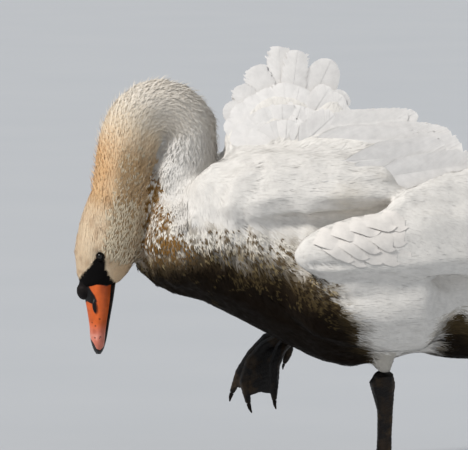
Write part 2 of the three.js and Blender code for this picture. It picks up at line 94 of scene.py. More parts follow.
# Long feathers that run back over the wing: tip x, tip z, root x, root z, width, distance out, sag, copies.
LONG_FEATHERS = [
    [-38, 422, 112, 413, 26, 56, 14, 2],
    [-76, 400, 70, 402, 31, 68, 8, 3],
    [-88, 384, 40, 379, 38, 78, -8, 3],
    [-62, 360, 60, 358, 36, 88, -4, 3],
    [-102, 370, 24, 354, 36, 82, 4, 2],
]
# The folded wing's outline from the side: x, height of its upper edge, height of its lower edge.
WING_EDGE = [
    [104, 275, 259], [97, 286, 250], [78, 301, 243], [40, 316, 241], [0, 322, 239], [-40, 352, 240],
    [-76, 371, 239], [-145, 373, 243], [-205, 364, 254], [-262, 352, 266], [-318, 343, 290],
]
# Height of the edge between white breast and the belly's mud and painted shade, along x.
MUD_AND_SHADE_LINE = np.array([
    [-240, 60], [-160, 150], [-100, 190], [-66, 196], [-54, 150], [-20, 128], [8, 136], [20, 162],
    [33, 187], [62, 227], [97, 248], [143, 264], [177, 270], [212, 267], [250, 258], [300, 252],
])

# ---- small maths ----


def unit(v):
    return v / np.maximum(np.linalg.norm(v, axis=-1, keepdims=True), 1e-9)


def smooth(a, b, x):
    """0 below a, 1 above b (or the other way round where a > b), with soft ends."""
    t = np.clip((np.asarray(x, float) - a) / (b - a), 0, 1)
    return t * t * (3 - 2 * t)


def within(a, b, c, d, x):
    """0 outside a to d, 1 from b to c, with soft steps between."""
    return smooth(a, b, x) * smooth(d, c, x)


def hill(t):
    return np.exp(-(t**2))


def mix(a, b, t):
    return a + (b - a) * np.asarray(t)[..., None]


def circle(sides):
    """Cosines and sines of evenly spaced angles round a full turn."""
    turn = np.linspace(0, 2 * math.pi, sides, endpoint=False)
    return np.cos(turn), np.sin(turn)


def through(rows):
    """Smooth interpolation through rows of numbers, spaced by distance, at s from 0 to 1."""
    rows = np.asarray(rows, float)
    n_space = 3 if rows.shape[1] >= 5 else 2
    gaps = np.linalg.norm(np.diff(rows[:, :n_space], axis=0), axis=1)
    at = np.concatenate([[0], np.cumsum(gaps)])
    slopes = np.empty_like(rows)
    slopes[1:-1] = (rows[2:] - rows[:-2]) / (at[2:] - at[:-2])[:, None]
    slopes[0] = (rows[1] - rows[0]) / gaps[0]
    slopes[-1] = (rows[-1] - rows[-2]) / gaps[-1]

    def point(s):
        d = np.clip(np.asarray(s, float), 0, 1) * at[-1]
        i = np.clip(np.searchsorted(at, d, side="right") - 1, 0, len(rows) - 2)
        span = gaps[i][..., None]
        t = ((d - at[i]) / gaps[i])[..., None]
        start = (2 * t**3 - 3 * t**2 + 1) * rows[i] + (t**3 - 2 * t**2 + t) * span * slopes[i]
        return start + (3 * t**2 - 2 * t**3) * rows[i + 1] + (t**3 - t**2) * span * slopes[i + 1]

    return point


def travel_along(point, s):
    """The direction of a line of points at s."""
    return unit(point(np.minimum(1, s + 0.01))[:, :3] - point(np.maximum(0, s - 0.01))[:, :3])


def lattice(p, seed):
    """A repeatable random number from 0 to 1 for each point of a whole-number grid."""
    q = p.astype(np.int64)
    h = q[..., 0] * 73856093 ^ q[..., 1] * 19349663 ^ q[..., 2] * 83492791 ^ (seed * 2654435761)
    h = (h ^ (h >> 13)) * 1274126177 & 0x7FFFFFFF
    return ((h ^ (h >> 15)) & 0xFFFF) / 65535.0


def noise(p, size, seed=0):
    """Soft noise from 0 to 1 over points p in mm, with bumps about size mm across."""
    q = np.asarray(p, float) / size
    base = np.floor(q)
    f = q - base
    f = f * f * (3 - 2 * f)
    total = 0.0
    for corner in np.ndindex(2, 2, 2):
        w = 1.0
        for axis, far in enumerate(corner):
            w = w * (f[..., axis] if far else 1 - f[..., axis])
        total = total + w * lattice(base + np.array(corner), seed)
    return total


def linear(code):
    """An sRGB colour code as linear red, green and blue."""
    c = np.array([int(code[i : i + 2], 16) for i in (1, 3, 5)]) / 255
    return np.where(c <= 0.04045, c / 12.92, ((c + 0.055) / 1.055) ** 2.4)


# ---- meshes ----


def mesh_object(name, verts, faces, material, tint=None, uv=None, normals=None):
    """One mesh from arrays in mm. faces are rows of 4, where a triangle repeats its last corner."""
    faces = np.asarray(faces, np.int64)
    tri = faces[:, 2] == faces[:, 3]
    size = np.where(tri, 3, 4)
    keep = np.ones(faces.shape, bool)
    keep[tri, 3] = False
    loops = faces[keep]
    mesh = bpy.data.meshes.new(name)
    mesh.vertices.add(len(verts))
    mesh.vertices.foreach_set("co", (np.asarray(verts, float) * MM).ravel())
    mesh.loops.add(len(loops))
    mesh.loops.foreach_set("vertex_index", loops.astype(np.int32))
    mesh.polygons.add(len(faces))
    mesh.polygons.foreach_set("loop_start", (np.cumsum(size) - size).astype(np.int32))
    mesh.polygons.foreach_set("loop_total", size.astype(np.int32))
    mesh.polygons.foreach_set("use_smooth", np.ones(len(faces), bool))
    mesh.update(calc_edges=True)
    if tint is not None:
        colours = mesh.color_attributes.new(name="tint", type="FLOAT_COLOR", domain="POINT")
        rgba = np.ones((len(verts), 4))
        rgba[:, :3] = np.clip(tint, 0, 1)
        colours.data.foreach_set("color", rgba.ravel())
    if uv is not None:
        layer = mesh.uv_layers.new(name="OFBake")
        layer.data.foreach_set("uv", np.asarray(uv, float)[loops].ravel())
    if normals is not None:
        mesh.normals_split_custom_set_from_vertices(unit(normals).tolist())
    mesh.materials.append(material)
    obj = bpy.data.objects.new(name, mesh)
    bpy.context.scene.collection.objects.link(obj)
    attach(obj, "root")
    return obj


def cad_mesh(node):
    """Vertices (mm) and triangles of a CAD node, with doubled vertices joined."""
    bm = bmesh.new()
    bm.from_mesh(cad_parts[node].data)
    bmesh.ops.remove_doubles(bm, verts=bm.verts, dist=2e-6)
    bmesh.ops.triangulate(bm, faces=bm.faces)
    verts = np.array([v.co for v in bm.verts]) / MM
    tris = np.array([[v.index for v in f.verts] for f in bm.faces])
    bm.free()
    return verts, tris


def quads_of(f):
    """Faces as rows of 4, where a triangle repeats its last corner."""
    return f if f.shape[1] == 4 else np.hstack([f, f[:, -1:]])


def ring_quads(count, sides):
    """Faces between rings of points, each ring joined to the next."""
    k = np.arange(sides)
    after = (k + 1) % sides
    strips = [np.stack([k, after, sides + after, sides + k], 1) + sides * i for i in range(count - 1)]
    return np.concatenate(strips)


def lathe(rings):
    """Vertices and faces of a body over rings of points, closed at both ends."""
    rings = np.asarray(rings)
    count, sides = rings.shape[:2]
    k = np.arange(sides)
    after = (k + 1) % sides
    last = sides * (count - 1)
    faces = [ring_quads(count, sides)]
    first_cap, last_cap = np.full((2, sides), [[last + sides], [last + sides + 1]])
    faces.append(np.stack([after, k, first_cap, first_cap], 1))
    faces.append(np.stack([last + k, last + after, last_cap, last_cap], 1))
    ends = [np.mean(rings[0], axis=0), np.mean(rings[-1], axis=0)]
    return np.vstack([rings.reshape(-1, 3), *ends]), np.concatenate(faces)


def tube(rows, sides=16):
    """A round body along rows of x, y, z, half depth, half breadth."""
    point = through(rows)
    s = np.linspace(0, 1, max(8, len(rows) * 4))
    centre, depth, breadth = np.split(point(s)[:, None], [3, 4], axis=2)
    travel = travel_along(point, s)
    across = unit(np.array([0, 1, 0]) - travel * travel[:, 1:2])
    out = np.cross(across, travel)
    cos, sin = circle(sides)
    rings = centre + cos[:, None] * out[:, None] * depth
    return lathe(rings + sin[:, None] * across[:, None] * breadth)


def ellipsoid(centre, radii, sides=20):
    lats = np.linspace(-math.pi / 2, math.pi / 2, sides // 2 + 1)[1:-1, None]
    cos, sin = circle(sides)
    rings = np.stack([np.cos(lats) * cos, np.cos(lats) * sin, np.sin(lats) + 0 * cos], 2)
    return lathe(np.array(centre) + rings * np.array(radii))


def remeshed(parts, voxel, rounds):
    """One smooth closed mesh round several closed ones: vertices (mm) and quads."""
    verts, quads, start = [], [], 0
    for v, f in parts:
        verts.append(v)
        quads.append(start + quads_of(f))
        start += len(v)
    obj = mesh_object("draft", np.vstack(verts), np.vstack(quads), bpy.data.materials.new("draft"))
    modifier = obj.modifiers.new("union", "REMESH")
    modifier.mode = "VOXEL"
    modifier.voxel_size = voxel * MM
    made = bpy.data.meshes.new_from_object(obj.evaluated_get(bpy.context.evaluated_depsgraph_get()))
    v = np.empty(len(made.vertices) * 3)
    made.vertices.foreach_get("co", v)
    f = np.empty(len(made.loops), np.int32)
    made.loops.foreach_get("vertex_index", f)
    bpy.data.objects.remove(obj, do_unlink=True)
    v = v.reshape(-1, 3) / MM
    f = f.reshape(-1, 4)
    return relaxed(v, f, rounds), f


def relaxed(v, f, rounds, values=None):
    """Vertices (or values at them) averaged with their neighbours, rounds times over."""
    a = f.T.ravel()
    b = np.roll(f, -1, axis=1).T.ravel()
    count = np.bincount(a, minlength=len(v))
    x = v if values is None else values
    flat = x.reshape(len(v), -1)
    for _ in range(rounds):
        total = np.stack([np.bincount(a, column[b], minlength=len(v)) for column in flat.T], 1)
        flat = 0.5 * flat + 0.5 * total / np.maximum(count, 1)[:, None]
    return flat.reshape(x.shape)


def vertex_normals(v, f):
    f = quads_of(f)
    n = np.cross(v[f[:, 2]] - v[f[:, 0]], v[f[:, 3]] - v[f[:, 1]])
    out = np.zeros_like(v)
    for k in range(4):
        for axis in range(3):
            out[:, axis] += np.bincount(f[:, k], n[:, axis], minlength=len(v))
    return unit(out)


# ---- materials ----


class Nodes:
    """Shorthand for building a material's nodes."""

    def __init__(self, name):
        self.material = bpy.data.materials.new(name)
        self.material.use_nodes = True
        self.tree = self.material.node_tree
        self.shader = self.tree.nodes["Principled BSDF"]

    def add(self, kind, **inputs):
        node = self.tree.nodes.new("ShaderNode" + kind)
        for key, value in inputs.items():
            if key in node.inputs:
                self.put(node.inputs[key], value)
            else:
                setattr(node, key, value)
        return node

    def put(self, socket, value):
        if isinstance(value, bpy.types.NodeSocket):
            self.tree.links.new(value, socket)
        else:
            socket.default_value = value

    def position(self, stretch=(1, 1, 1)):
        coords = self.add("TexCoord").outputs["Object"]
        return self.add("Mapping", Vector=coords, Scale=stretch).outputs["Vector"]

    def noise(self, scale, detail=2.0, stretch=(1, 1, 1)):
        node = self.add("TexNoise", Scale=scale, Detail=detail, Roughness=0.5, Vector=self.position(stretch))
        return node.outputs["Fac"]

    def ramp(self, value, low, high, lo=0.0, hi=1.0):
        node = self.add("MapRange", Value=value)
        for key, number in (("From Min", low), ("From Max", high), ("To Min", lo), ("To Max", hi)):
            node.inputs[key].default_value = number
        return node.outputs["Result"]

    def scaled(self, colour, factor):
        """colour times a grey factor."""
        node = self.add("VectorMath", operation="SCALE")
        self.put(node.inputs[0], colour)
        self.put(node.inputs["Scale"], factor)
        return node.outputs["Vector"]

    def blend(self, a, b, factor):
        node = self.add("Mix", data_type="RGBA")
        for socket, value in ((0, factor), (6, a), (7, b)):
            self.put(node.inputs[socket], value)
        return node.outputs[2]

    def tint(self):
        return self.add("Attribute", attribute_name="tint").outputs["Color"]

    def bump(self, height, distance, strength=0.6):
        node = self.add("Bump", Distance=distance * MM, Strength=strength, Height=height)
        self.put(self.shader.inputs["Normal"], node.outputs["Normal"])

    def finish(self, colour, rough_value, rough, **constants):
        """The material: its colour, its roughness within rough, and shader inputs that stay put."""
        self.put(self.shader.inputs["Base Color"], colour)
        self.put(self.shader.inputs["Roughness"], self.ramp(rough_value, 0.25, 0.75, *rough))
        for key, value in constants.items():
            self.shader.inputs[key.replace("_", " ")].default_value = value
        return self.material


def feather_material(name, fine, streak, rough=(0.62, 0.9), sheen=0.12, relief=0.2):
    """Plumage: its colour from the tint, mottled finely, with the streaks of barbs."""
    m = Nodes(name)
    grain = m.noise(fine, 3.0)
    m.bump(m.noise(streak, 2.0, (1, 1, 0.35)), 0.4, relief)
    colour = m.scaled(m.tint(), m.ramp(grain, 0.3, 0.7, 0.93, 1.04))
    shine = 0.2 if sheen else 0.08
    return m.finish(colour, grain, rough, Sheen_Weight=sheen, Sheen_Roughness=0.6, Specular_IOR_Level=shine)


def horn_material(name, rough, coat, shine):
    m = Nodes(name)
    grain = m.noise(650, 4.0, (1, 1, 0.3))
    colour = m.scaled(m.tint(), m.ramp(m.noise(90, 3.0), 0.3, 0.7, 0.86, 1.12))
    m.bump(grain, 0.25, 0.35)
    return m.finish(colour, grain, rough, Coat_Weight=coat, Coat_Roughness=0.25, Specular_IOR_Level=shine)


def leg_material():
    """Small scales with dark seams, patched with mud."""
    m = Nodes("leg_scales")
    cells = m.add("TexVoronoi", Scale=340.0, feature="DISTANCE_TO_EDGE", Vector=m.position())
    edges = m.ramp(cells.outputs["Distance"], 0.0, 0.12)
    colour = m.blend(m.tint(), (0.085, 0.052, 0.024, 1), m.ramp(m.noise(60, 4.0), 0.52, 0.70, 0.0, 0.7))
    colour = m.scaled(colour, m.ramp(edges, 0, 1, 0.55, 1.0))
    m.bump(edges, 0.5, 0.8)
    shine = {"Specular_IOR_Level": 0.22, "Coat_Weight": 0.08, "Coat_Roughness": 0.25}
    return m.finish(colour, m.noise(120, 3.0), (0.25, 0.65), **shine)


def eye_material():
    m = Nodes("eye_surface")
    rays = m.noise(500, 3.0)
    colour = m.scaled(m.tint(), m.ramp(rays, 0.3, 0.7, 0.7, 1.3))
    shine = {"Specular_IOR_Level": 0.35, "Coat_Weight": 0.3, "Coat_Roughness": 0.02}
    return m.finish(colour, rays, (0.03, 0.07), **shine)


PLUSH = feather_material("plush_feathers", 380, 900)
CONTOUR = feather_material("contour_feathers", 160, 700)
VANES = feather_material("vaned_feathers", 120, 1100, (0.5, 0.75), 0.1, 0.1)
SKIN = feather_material("skin", 220, 600, sheen=0.0)
# Plumage that carries the belly's mud and painted shade in its tint.
MUDDY_AND_SHADED = feather_material("muddy_and_shaded_feathers", 160, 700, sheen=0.0)
HORN = horn_material("bill_horn", (0.36, 0.55), 0.06, 0.25)
DARK_HORN = horn_material("dark_horn", (0.42, 0.6), 0.0, 0.1)
LEG = leg_material()
EYEBALL = eye_material()

# ---- the skin ----

FLESH = ["head", "neck_upper", "neck_arch", "neck_lower", "trunk"]
FLESH += [f"{part}_{word}" for part in ("scapulars", "wing", "thigh") for word in SIDES]
SKIN_VOXEL = 3.13
SKIN_GROWTH = 0.35
# How far off the skin a solid may lie and still own a part of it.
OWNER_REACH = 25.0
# How far each body's skin lies under its solid, for the coat to fill.
COAT_DEPTH = {
    "head": 1.2, "neck_upper": 3, "neck_arch": 3.5, "neck_lower": 3, "trunk": 4, "scapulars": 3.5,
    "wing": 2, "thigh": 3, "fan": 1,
}
# The soft root of each fan and the pad under the long feathers, well inside the solids.
FAN_CLUMPS = [((2, 47, 14), (52, 14, 53)), ((44, 46, 4), (26, 12, 34)), ((-54, 49, 12), (27, 12, 47))]
FAN_PAD = [
    [118, 62, 372, 18, 14], [70, 64, 380, 24, 21], [10, 66, 376, 25, 22], [-50, 70, 360, 20, 18],
    [-92, 72, 350, 8, 9],
]
# Feathers between head and bill, over the brow, and between neck and breast.
COLLAR = [
    [327.5, HEAD_Y, 241, 28.5, 20], [329, HEAD_Y, 234, 24, 18.5], [329.5, HEAD_Y, 228, 18.8, 16.6],
    [329, HEAD_Y, 223, 14, 12],
]
BROW = ((339.5, HEAD_Y, 241), (15.4, 14, 17))
BRIDGE = ((261, 12, 318), (22, 26, 44))
# Upright creases in the plumage of the breast: x, top, bottom, depth.
CREASES = [
    [193, 300, 254, 5.5], [158, 310, 254, 6.5], [176, 282, 250, 4], [215, 292, 258, 3.5], [132, 300, 262, 3],
]


def fan_base(side, drop):
    x, z = FAN_CENTRE
    for (dx, out, dz), radii in FAN_CLUMPS:
        yield ellipsoid((x + dx, side * out, z + dz - drop), radii)
    yield tube([[a, side * b, c - drop, d, e] for a, b, c, d, e in FAN_PAD])


def make_skin():
    """One closed surface round the flesh: vertices, quads and the body that each vertex belongs to."""
    parts, owners, trees = [], [], []
    for node in FLESH:
        v, f = cad_mesh(node)
        parts.append((v + SKIN_GROWTH * vertex_normals(v, f), f))
        trees.append(BVHTree.FromPolygons(v.tolist(), f.tolist()))
        owners.append(node.rsplit("_", 1)[0] if node.endswith(("left", "right")) else node)
    extra = [(tube(COLLAR, 32), "head"), (ellipsoid(*BROW), "head"), (ellipsoid(*BRIDGE), "neck_lower")]
    extra += [(body, "fan") for word in SIDES for body in fan_base(SIDES[word], RAISED_DROP[word])]
    for (v, f), owner in extra:
        parts.append((v, f))
        trees.append(BVHTree.FromPolygons(v.tolist(), [list(dict.fromkeys(q)) for q in f.tolist()]))
        owners.append(owner)
    v, f = remeshed(parts, SKIN_VOXEL, 9)
    names = sorted(set(owners))
    near = np.full(len(v), 1e9)
    label = np.zeros(len(v), int)
    for tree, owner in zip(trees, owners):
        for i, p in enumerate(v):
            d = tree.find_nearest(p, OWNER_REACH)[3]
            if d is not None and d < near[i]:
                near[i] = d
                label[i] = names.index(owner)
    return v, f, np.array(names)[label]


def puffs(p, size, seed):
    """Rounded clumps from 0 to 1 with creases between them."""
    a = np.abs(2 * noise(p, size, seed) - 1)
    b = np.abs(2 * noise(p, size * 0.46, seed + 1) - 1)
    return np.minimum(1, 1.3 * a) * 0.7 + 0.3 * b


def skin_depth(v, f, part):
    """How deep the skin lies under the solids: room for the coat, and the relief of the plumage."""
    x, _, z = v.T
    depth = relaxed(v, f, 6, np.array([COAT_DEPTH[p] for p in part]))
    depth = np.where((part == "wing") & (x < -150), 1.5, depth)
    depth = depth * smooth(224, 238, z) ** (part == "head")
    depth = np.where(part == "trunk", 0.8 + 2.7 * smooth(190, 265, z), depth)
    # Soft rolls of plumage: upright ones over the breast, lengthwise ones over the back.
    forward = smooth(40, 90, x)
    rolls = puffs(v * [1, 1, 0.38], 22, 61) * forward + puffs(v * [0.5, 1, 1], 26, 65) * (1 - forward)
    ruffled = (part == "wing") & (x < -15) & (x > -120) & (z > 315)
    soft_part = np.isin(part, ["trunk", "scapulars", "fan"]) | ruffled
    rolls = (4.0 - 8.5 * rolls) * soft_part * smooth(410, 370, z) * (0.35 + 0.65 * smooth(190, 250, z))
    depth = depth + relaxed(v, f, 4, rolls * (1 - 0.6 * (part == "fan")))
    # The throat runs straight from the bill's base to the neck.
    throat = hill(np.linalg.norm((v - [303, HEAD_Y, 231]) / [11, 30, 11], axis=1))
    depth = depth + 2.2 * throat * (part == "head")
    for crease, top, bottom, deep in CREASES:
        across = hill((x - crease - 0.12 * (z - 280)) / 4.2)
        along = within(bottom - 8, bottom + 6, top - 10, top + 14, z)
        depth = depth + deep * across * along * np.isin(part, ["trunk", "neck_lower"])
    # A fold runs back from the wing's wrist.
    fold = hill((z - 259 + 0.04 * (x - 70)) / 2.6) * within(44, 54, 86, 94, x)
    depth = depth + 4.0 * fold * (part == "wing")
    # The neck presses on the breast below the arch, with no gap between their coats.
    pressed = within(236, 250, 278, 292, x) * within(262, 275, 360, 375, z)
    return depth * (1 - 0.95 * pressed)


skin_v, skin_f, skin_part = make_skin()
skin_v = skin_v - vertex_normals(skin_v, skin_f) * skin_depth(skin_v, skin_f, skin_part)[:, None]
# The skin is calmer where cape, neck and breast meet, and where the raised feathers rise from the cape.
meeting = np.linalg.norm((np.abs(skin_v) - [230, 52, 325]) / [26, 26, 26], axis=1)
skin_v = mix(skin_v, relaxed(skin_v, skin_f, 24), smooth(1.2, 0.6, meeting))
seam = np.linalg.norm((skin_v - [85, 0, 381]) / [105, 200, 10], axis=1)
skin_v = mix(skin_v, relaxed(skin_v, skin_f, 24), smooth(1.3, 0.7, seam))
skin_v = relaxed(skin_v, skin_f, 2)
skin_n = vertex_normals(skin_v, skin_f)

# ---- where a point lies, which way feathers lie there, and what colour they are ----

neck_point = through(NECK_LINE)
NECK_S = np.linspace(0, 1, 260)
NECK_AT = neck_point(NECK_S)[:, :3]
NECK_TRAVEL = travel_along(neck_point, NECK_S)
ON_NECK = ["head", "neck_upper", "neck_arch"]
CLEAN = [*ON_NECK, "wing", "scapulars", "fan"]


def on_neck(p, block=20000):
    """The row of NECK_AT nearest to each point."""
    starts = range(0, len(p), block)
    return np.concatenate([
        np.linalg.norm(p[start : start + block, None] - NECK_AT[None], axis=2).argmin(1) for start in starts
    ])


def neck_share(part, near):
    """1 on the neck and head, falling to 0 where the lower neck meets the body."""
    lower = np.where(part == "neck_lower", smooth(0.10, 0.28, NECK_S[near]), 0)
    return np.where(np.isin(part, ON_NECK), 1.0, lower)


def lie(p, n, part, near):
    """The direction that feathers point in, along the surface."""
    x, y, z = p.T
    side, zero, one = np.sign(y), 0 * x, np.ones(len(p))
    breast = smooth(40, 215, x)
    down = -0.16 - 1.5 * breast * smooth(372, 300, z) + 0.25 * smooth(330, 370, z)
    down = down + 0.35 * smooth(-150, -300, x) * smooth(300, 250, z)
    body = np.stack([-1 + 0.45 * breast, 0.12 * side * breast, down], 1)
    wing = np.stack([-one, -0.1 * side, np.where(z > 285, -0.62, -0.2) * smooth(-330, -120, x)], 1)
    cape = mix(np.stack([-one, zero, -0.35 * smooth(345, 315, z) + 0.1], 1), body, smooth(150, 205, x))
    thigh = np.stack([-0.25 + zero, zero, -one], 1)
    away = unit(np.stack([x - FAN_CENTRE[0], zero, z - FAN_CENTRE[1] + 26], 1))
    fan = unit(np.where((x > 20)[:, None], away + [-0.15, 0, 0.35], np.array([-1, 0, 0.12])))
    out = body
    for name, field in (("wing", wing), ("scapulars", cape), ("thigh", thigh), ("fan", fan)):
        out = np.where((part == name)[:, None], field, out)
    share = neck_share(part, near)[:, None]
    out = unit(out) * (1 - share) - NECK_TRAVEL[near] * share
    return unit(out - n * (out * n).sum(1)[:, None])


WHITE = linear("#e9e5df")
BRIGHT = linear("#ece9e6")
SHADED_WHITE = linear("#d6cbb8")
CREAM = linear("#f2e1c6")
BUFF = linear("#e3b984")
RUST = linear("#a97b4d")
SPECKLE = linear("#8c7350")
# A brown that also stands in for the shade on the neck's rear: partly painted shade.
NAPE_BROWN_AND_SHADE = linear("#94713f")
DUST = linear("#8f7f63")
# Mud colours, darkened with painted shade of the belly's underside.
OLIVE_MUD_AND_SHADE = linear("#4d402a")
MUD_AND_SHADE = linear("#1a120a")
BLACK = linear("#0d0b0b")


def mottled(p):
    """Where the front of the breast and lower neck is speckled with brown, 0 to 1."""
    x, _, z = p.T
    rear = np.interp(z, [255, 265, 287, 322, 351], [200, 212, 234, 249, 256])
    return smooth(-10, 10, x - rear) * smooth(366, 347, z)


# The height of the edge of the mud and its painted shade below each point.
def mud_and_shade_line(p):
    return np.interp(p[:, 0], *MUD_AND_SHADE_LINE.T)


def on_neck_rear(p, near):
    """1 on the rear of the upper neck and head, where it is shaded and curled."""
    away = unit(p - NECK_AT[near])
    return smooth(0.25, -0.15, away[:, 0]) * within(0.60, 0.68, 0.88, 0.95, NECK_S[near])


def markings(p, part, near):
    """The plumage's colour at points p, linear."""
    x, y, z = p.T
    s = NECK_S[near]
    fine, mid, broad = noise(p, 5.5, 3), noise(p, 17, 5), noise(p, 46, 9)
    white = mix(WHITE, SHADED_WHITE, 0.5 * smooth(0.55, 0.9, broad) * smooth(0.35, 0.8, mid))
    neck = neck_share(part, near)
    # Buff from the arch down the front of the neck, paler and speckled on the head.
    outer = unit(p - NECK_AT[near])[:, 0]
    stain = smooth(0.56, 0.70, s) * (0.6 + 0.4 * smooth(-0.2, 0.9, outer)) * smooth(0.0, 0.12, neck)
    stain = stain * (1 - 0.72 * smooth(0.75, 0.83, s) * smooth(-1.2, 0.4, outer))
    stain = np.clip(stain * (0.72 + 0.5 * mid), 0, 1)
    creamy = (0.35 * smooth(0.3, 0.44, s) + 0.65 * smooth(0.5, 0.62, s)) * neck
    colour = mix(mix(white, CREAM, creamy), BUFF, stain)
    colour = mix(colour, RUST, 0.35 * smooth(0.62, 0.78, fine) * smooth(0.60, 0.80, s) * neck)
    # Rusty tips on the front of the lower neck and the upper breast.
    low = ~np.isin(part, CLEAN)
    colour = mix(colour, SPECKLE, 0.6 * smooth(0.40, 0.52, noise(p, 4.4, 21)) * mottled(p) * low)
    # The rear of the upper neck and head is darker brown: partly its own buff, partly painted shade.
    colour = mix(colour, NAPE_BROWN_AND_SHADE, 0.5 * on_neck_rear(p, near))
    # Mud and painted shade below a ragged line, darkest under the belly. The near thigh is clean of them and
    # only greyer towards its bottom; the far one is covered in them.
    ragged = (noise(p * [1, 1, 0.45], 9, 31) - 0.5) * 34 + (noise(p, 30, 33) - 0.5) * 26
    body = low & ((part != "thigh") | (y < 0))
    over = z - mud_and_shade_line(p) + 0.7 * ragged
    soft_edge = 4 + 15 * smooth(20, 120, x)
    dusk = smooth(3.0, 0.6, over / soft_edge) * smooth(0.34, 0.60, noise(p, 6.0, 41)) * body
    colour = mix(colour, DUST, 0.7 * dusk)
    colour = mix(colour, OLIVE_MUD_AND_SHADE, smooth(1.0, -0.7, over / soft_edge) * body)
    colour = mix(colour, MUD_AND_SHADE, smooth(0, -34, over + 20 * (mid - 0.5)) * body)
    colour = mix(colour, linear("#8f8672"), 0.5 * (part == "thigh") * smooth(175, 140, z) * (y > 0))
    return mix(colour, MUD_AND_SHADE, (part == "thigh") * (y < 0))


# The body's axis for unwrapping: its height, its rear end and its length.
BODY_AXIS_Z, BODY_REAR, BODY_LENGTH = 262, -480, 790


def unwrap(p, part, near):
    """A place on a map of the skin: the neck by length and turn below, the body by length and turn above."""
    away = p - NECK_AT[near]
    travel = NECK_TRAVEL[near]
    across = unit(np.array([0, 1, 0]) - travel * travel[:, 1:2])
    turn = np.arctan2((away * across).sum(1), (away * np.cross(across, travel)).sum(1)) / (2 * math.pi) + 0.5
    neck = np.stack([0.02 + 0.96 * NECK_S[near], 0.02 + 0.28 * turn], 1)
    around = np.arctan2(p[:, 1], p[:, 2] - BODY_AXIS_Z) / (2 * math.pi) + 0.5
    body = np.stack([0.02 + 0.96 * (p[:, 0] - BODY_REAR) / BODY_LENGTH, 0.34 + 0.64 * around], 1)
    return np.where((neck_share(part, near) > 0.5)[:, None], neck, body)


# ---- where feathers grow ----

skin_near = on_neck(skin_v)
skin_lie = unit(relaxed(skin_v, skin_f, 16, lie(skin_v, skin_n, skin_part, skin_near)))
skin_tree = BVHTree.FromPolygons(skin_v.tolist(), skin_f.tolist())
face_centre = skin_v[skin_f].mean(1)
face_normal = unit(skin_n[skin_f].mean(1))
face_part = skin_part[skin_f[:, 0]]
face_near = skin_near[skin_f[:, 0]]


class Roots:
    """Places on the skin, with all that a feather needs to know about them."""

    def __init__(self, face, rng):
        corner = skin_f[face]
        a, b = rng.random((2, len(face), 1))
        w = np.stack([(1 - a) * (1 - b), a * (1 - b), a * b, (1 - a) * b], 1)
        self.at = (skin_v[corner] * w).sum(1)
        self.up = unit((skin_n[corner] * w).sum(1))
        along = (skin_lie[corner] * w).sum(1)
        self.lie = unit(along - self.up * (along * self.up).sum(1)[:, None])
        self.part = skin_part[corner[:, 0]]
        self.near = skin_near[corner[:, 0]]
        self.rng = rng

    def keep(self, chosen):
        for key in ("at", "up", "lie", "part", "near"):
            setattr(self, key, getattr(self, key)[chosen])
        return self

    def __len__(self):
        return len(self.at)


def dense(where, per_face, seed):
    """Roots strewn over the skin's faces where the mask is true, per_face on each."""
    return Roots(np.repeat(np.flatnonzero(where), per_face), np.random.default_rng(seed))


def spaced(where, gap, seed):
    """Roots at least gap mm apart, in no set order."""
    rng = np.random.default_rng(seed)
    faces = np.flatnonzero(where)
    many = int(len(faces) * (SKIN_VOXEL / gap) ** 2 * 4) + 8
    roots = Roots(rng.choice(faces, many), rng)
    taken, chosen = {}, []
    cells = np.floor(roots.at / gap).astype(int)
    steps = [(i, j, k) for i in (-1, 0, 1) for j in (-1, 0, 1) for k in (-1, 0, 1)]
    for index, ((a, b, c), p) in enumerate(zip(cells.tolist(), roots.at.tolist())):
        near = (q for i, j, k in steps for q in taken.get((a + i, b + j, c + k), ()))
        if all((p[0] - q[0]) ** 2 + (p[1] - q[1]) ** 2 + (p[2] - q[2]) ** 2 >= gap * gap for q in near):
            taken.setdefault((a, b, c), []).append(p)
            chosen.append(index)
    return roots.keep(np.array(chosen, int))


# ---- kinds of feather ----


def blades(count, spread, rows):
    """A tuft of count narrow pointed blades that fan out from one root.

    Gives corners (share of length, angle, share of the half width, blade) and faces. Rows are pairs: share of
    the length and share of the blade's half width. The last row is the point.
    """
    corners, faces = [], []
    for j in range(count):
        t = 0 if count == 1 else 2 * j / (count - 1) - 1
        start = len(corners)
        corners += [[u, t * spread, sign * w, j] for u, w in rows[:-1] for sign in (-1, 1)]
        corners.append([1, t * spread, 0, j])
        for a in range(start, len(corners) - 3, 2):
            faces.append([a + 1, a, a + 2, a + 3])
        point = len(corners) - 1
        faces.append([point - 1, point - 2, point, point])
    return np.array(corners, float), np.array(faces)


SPIKE = blades(1, 0, [[0, 1.0], [0.55, 0.85], [1, 0]])
TUFT3 = blades(3, 0.22, [[0, 1.0], [0.6, 0.9], [1, 0]])
SPLAY = blades(7, 0.30, [[0, 0.8], [0.4, 1.0], [0.75, 0.85], [1, 0]])
SPLAY5 = blades(5, 0.30, [[0, 0.8], [0.6, 1.0], [1, 0]])
PIECE_TRIANGLES = 185000
SKYWARD = np.array([0.45, 0.0, 0.9])
# How much a large feather's vanes curve down, and how far its lining lies under them.
CUP = 0.12
LINING = 0.3
# Points along a shaft, and along and across a draped feather.
SHAFT_POINTS = 9
DRAPE_GRID = (22, 17)


def settled(p):
    """The nearest point of the skin to each point, and the skin's normal there."""
    flat = p.reshape(-1, 3)
    at, normal = np.empty((2, *flat.shape))
    for i, q in enumerate(flat):
        at[i], _, face, _ = skin_tree.find_nearest(q)
        normal[i] = face_normal[face]
    return at.reshape(p.shape), normal.reshape(p.shape)


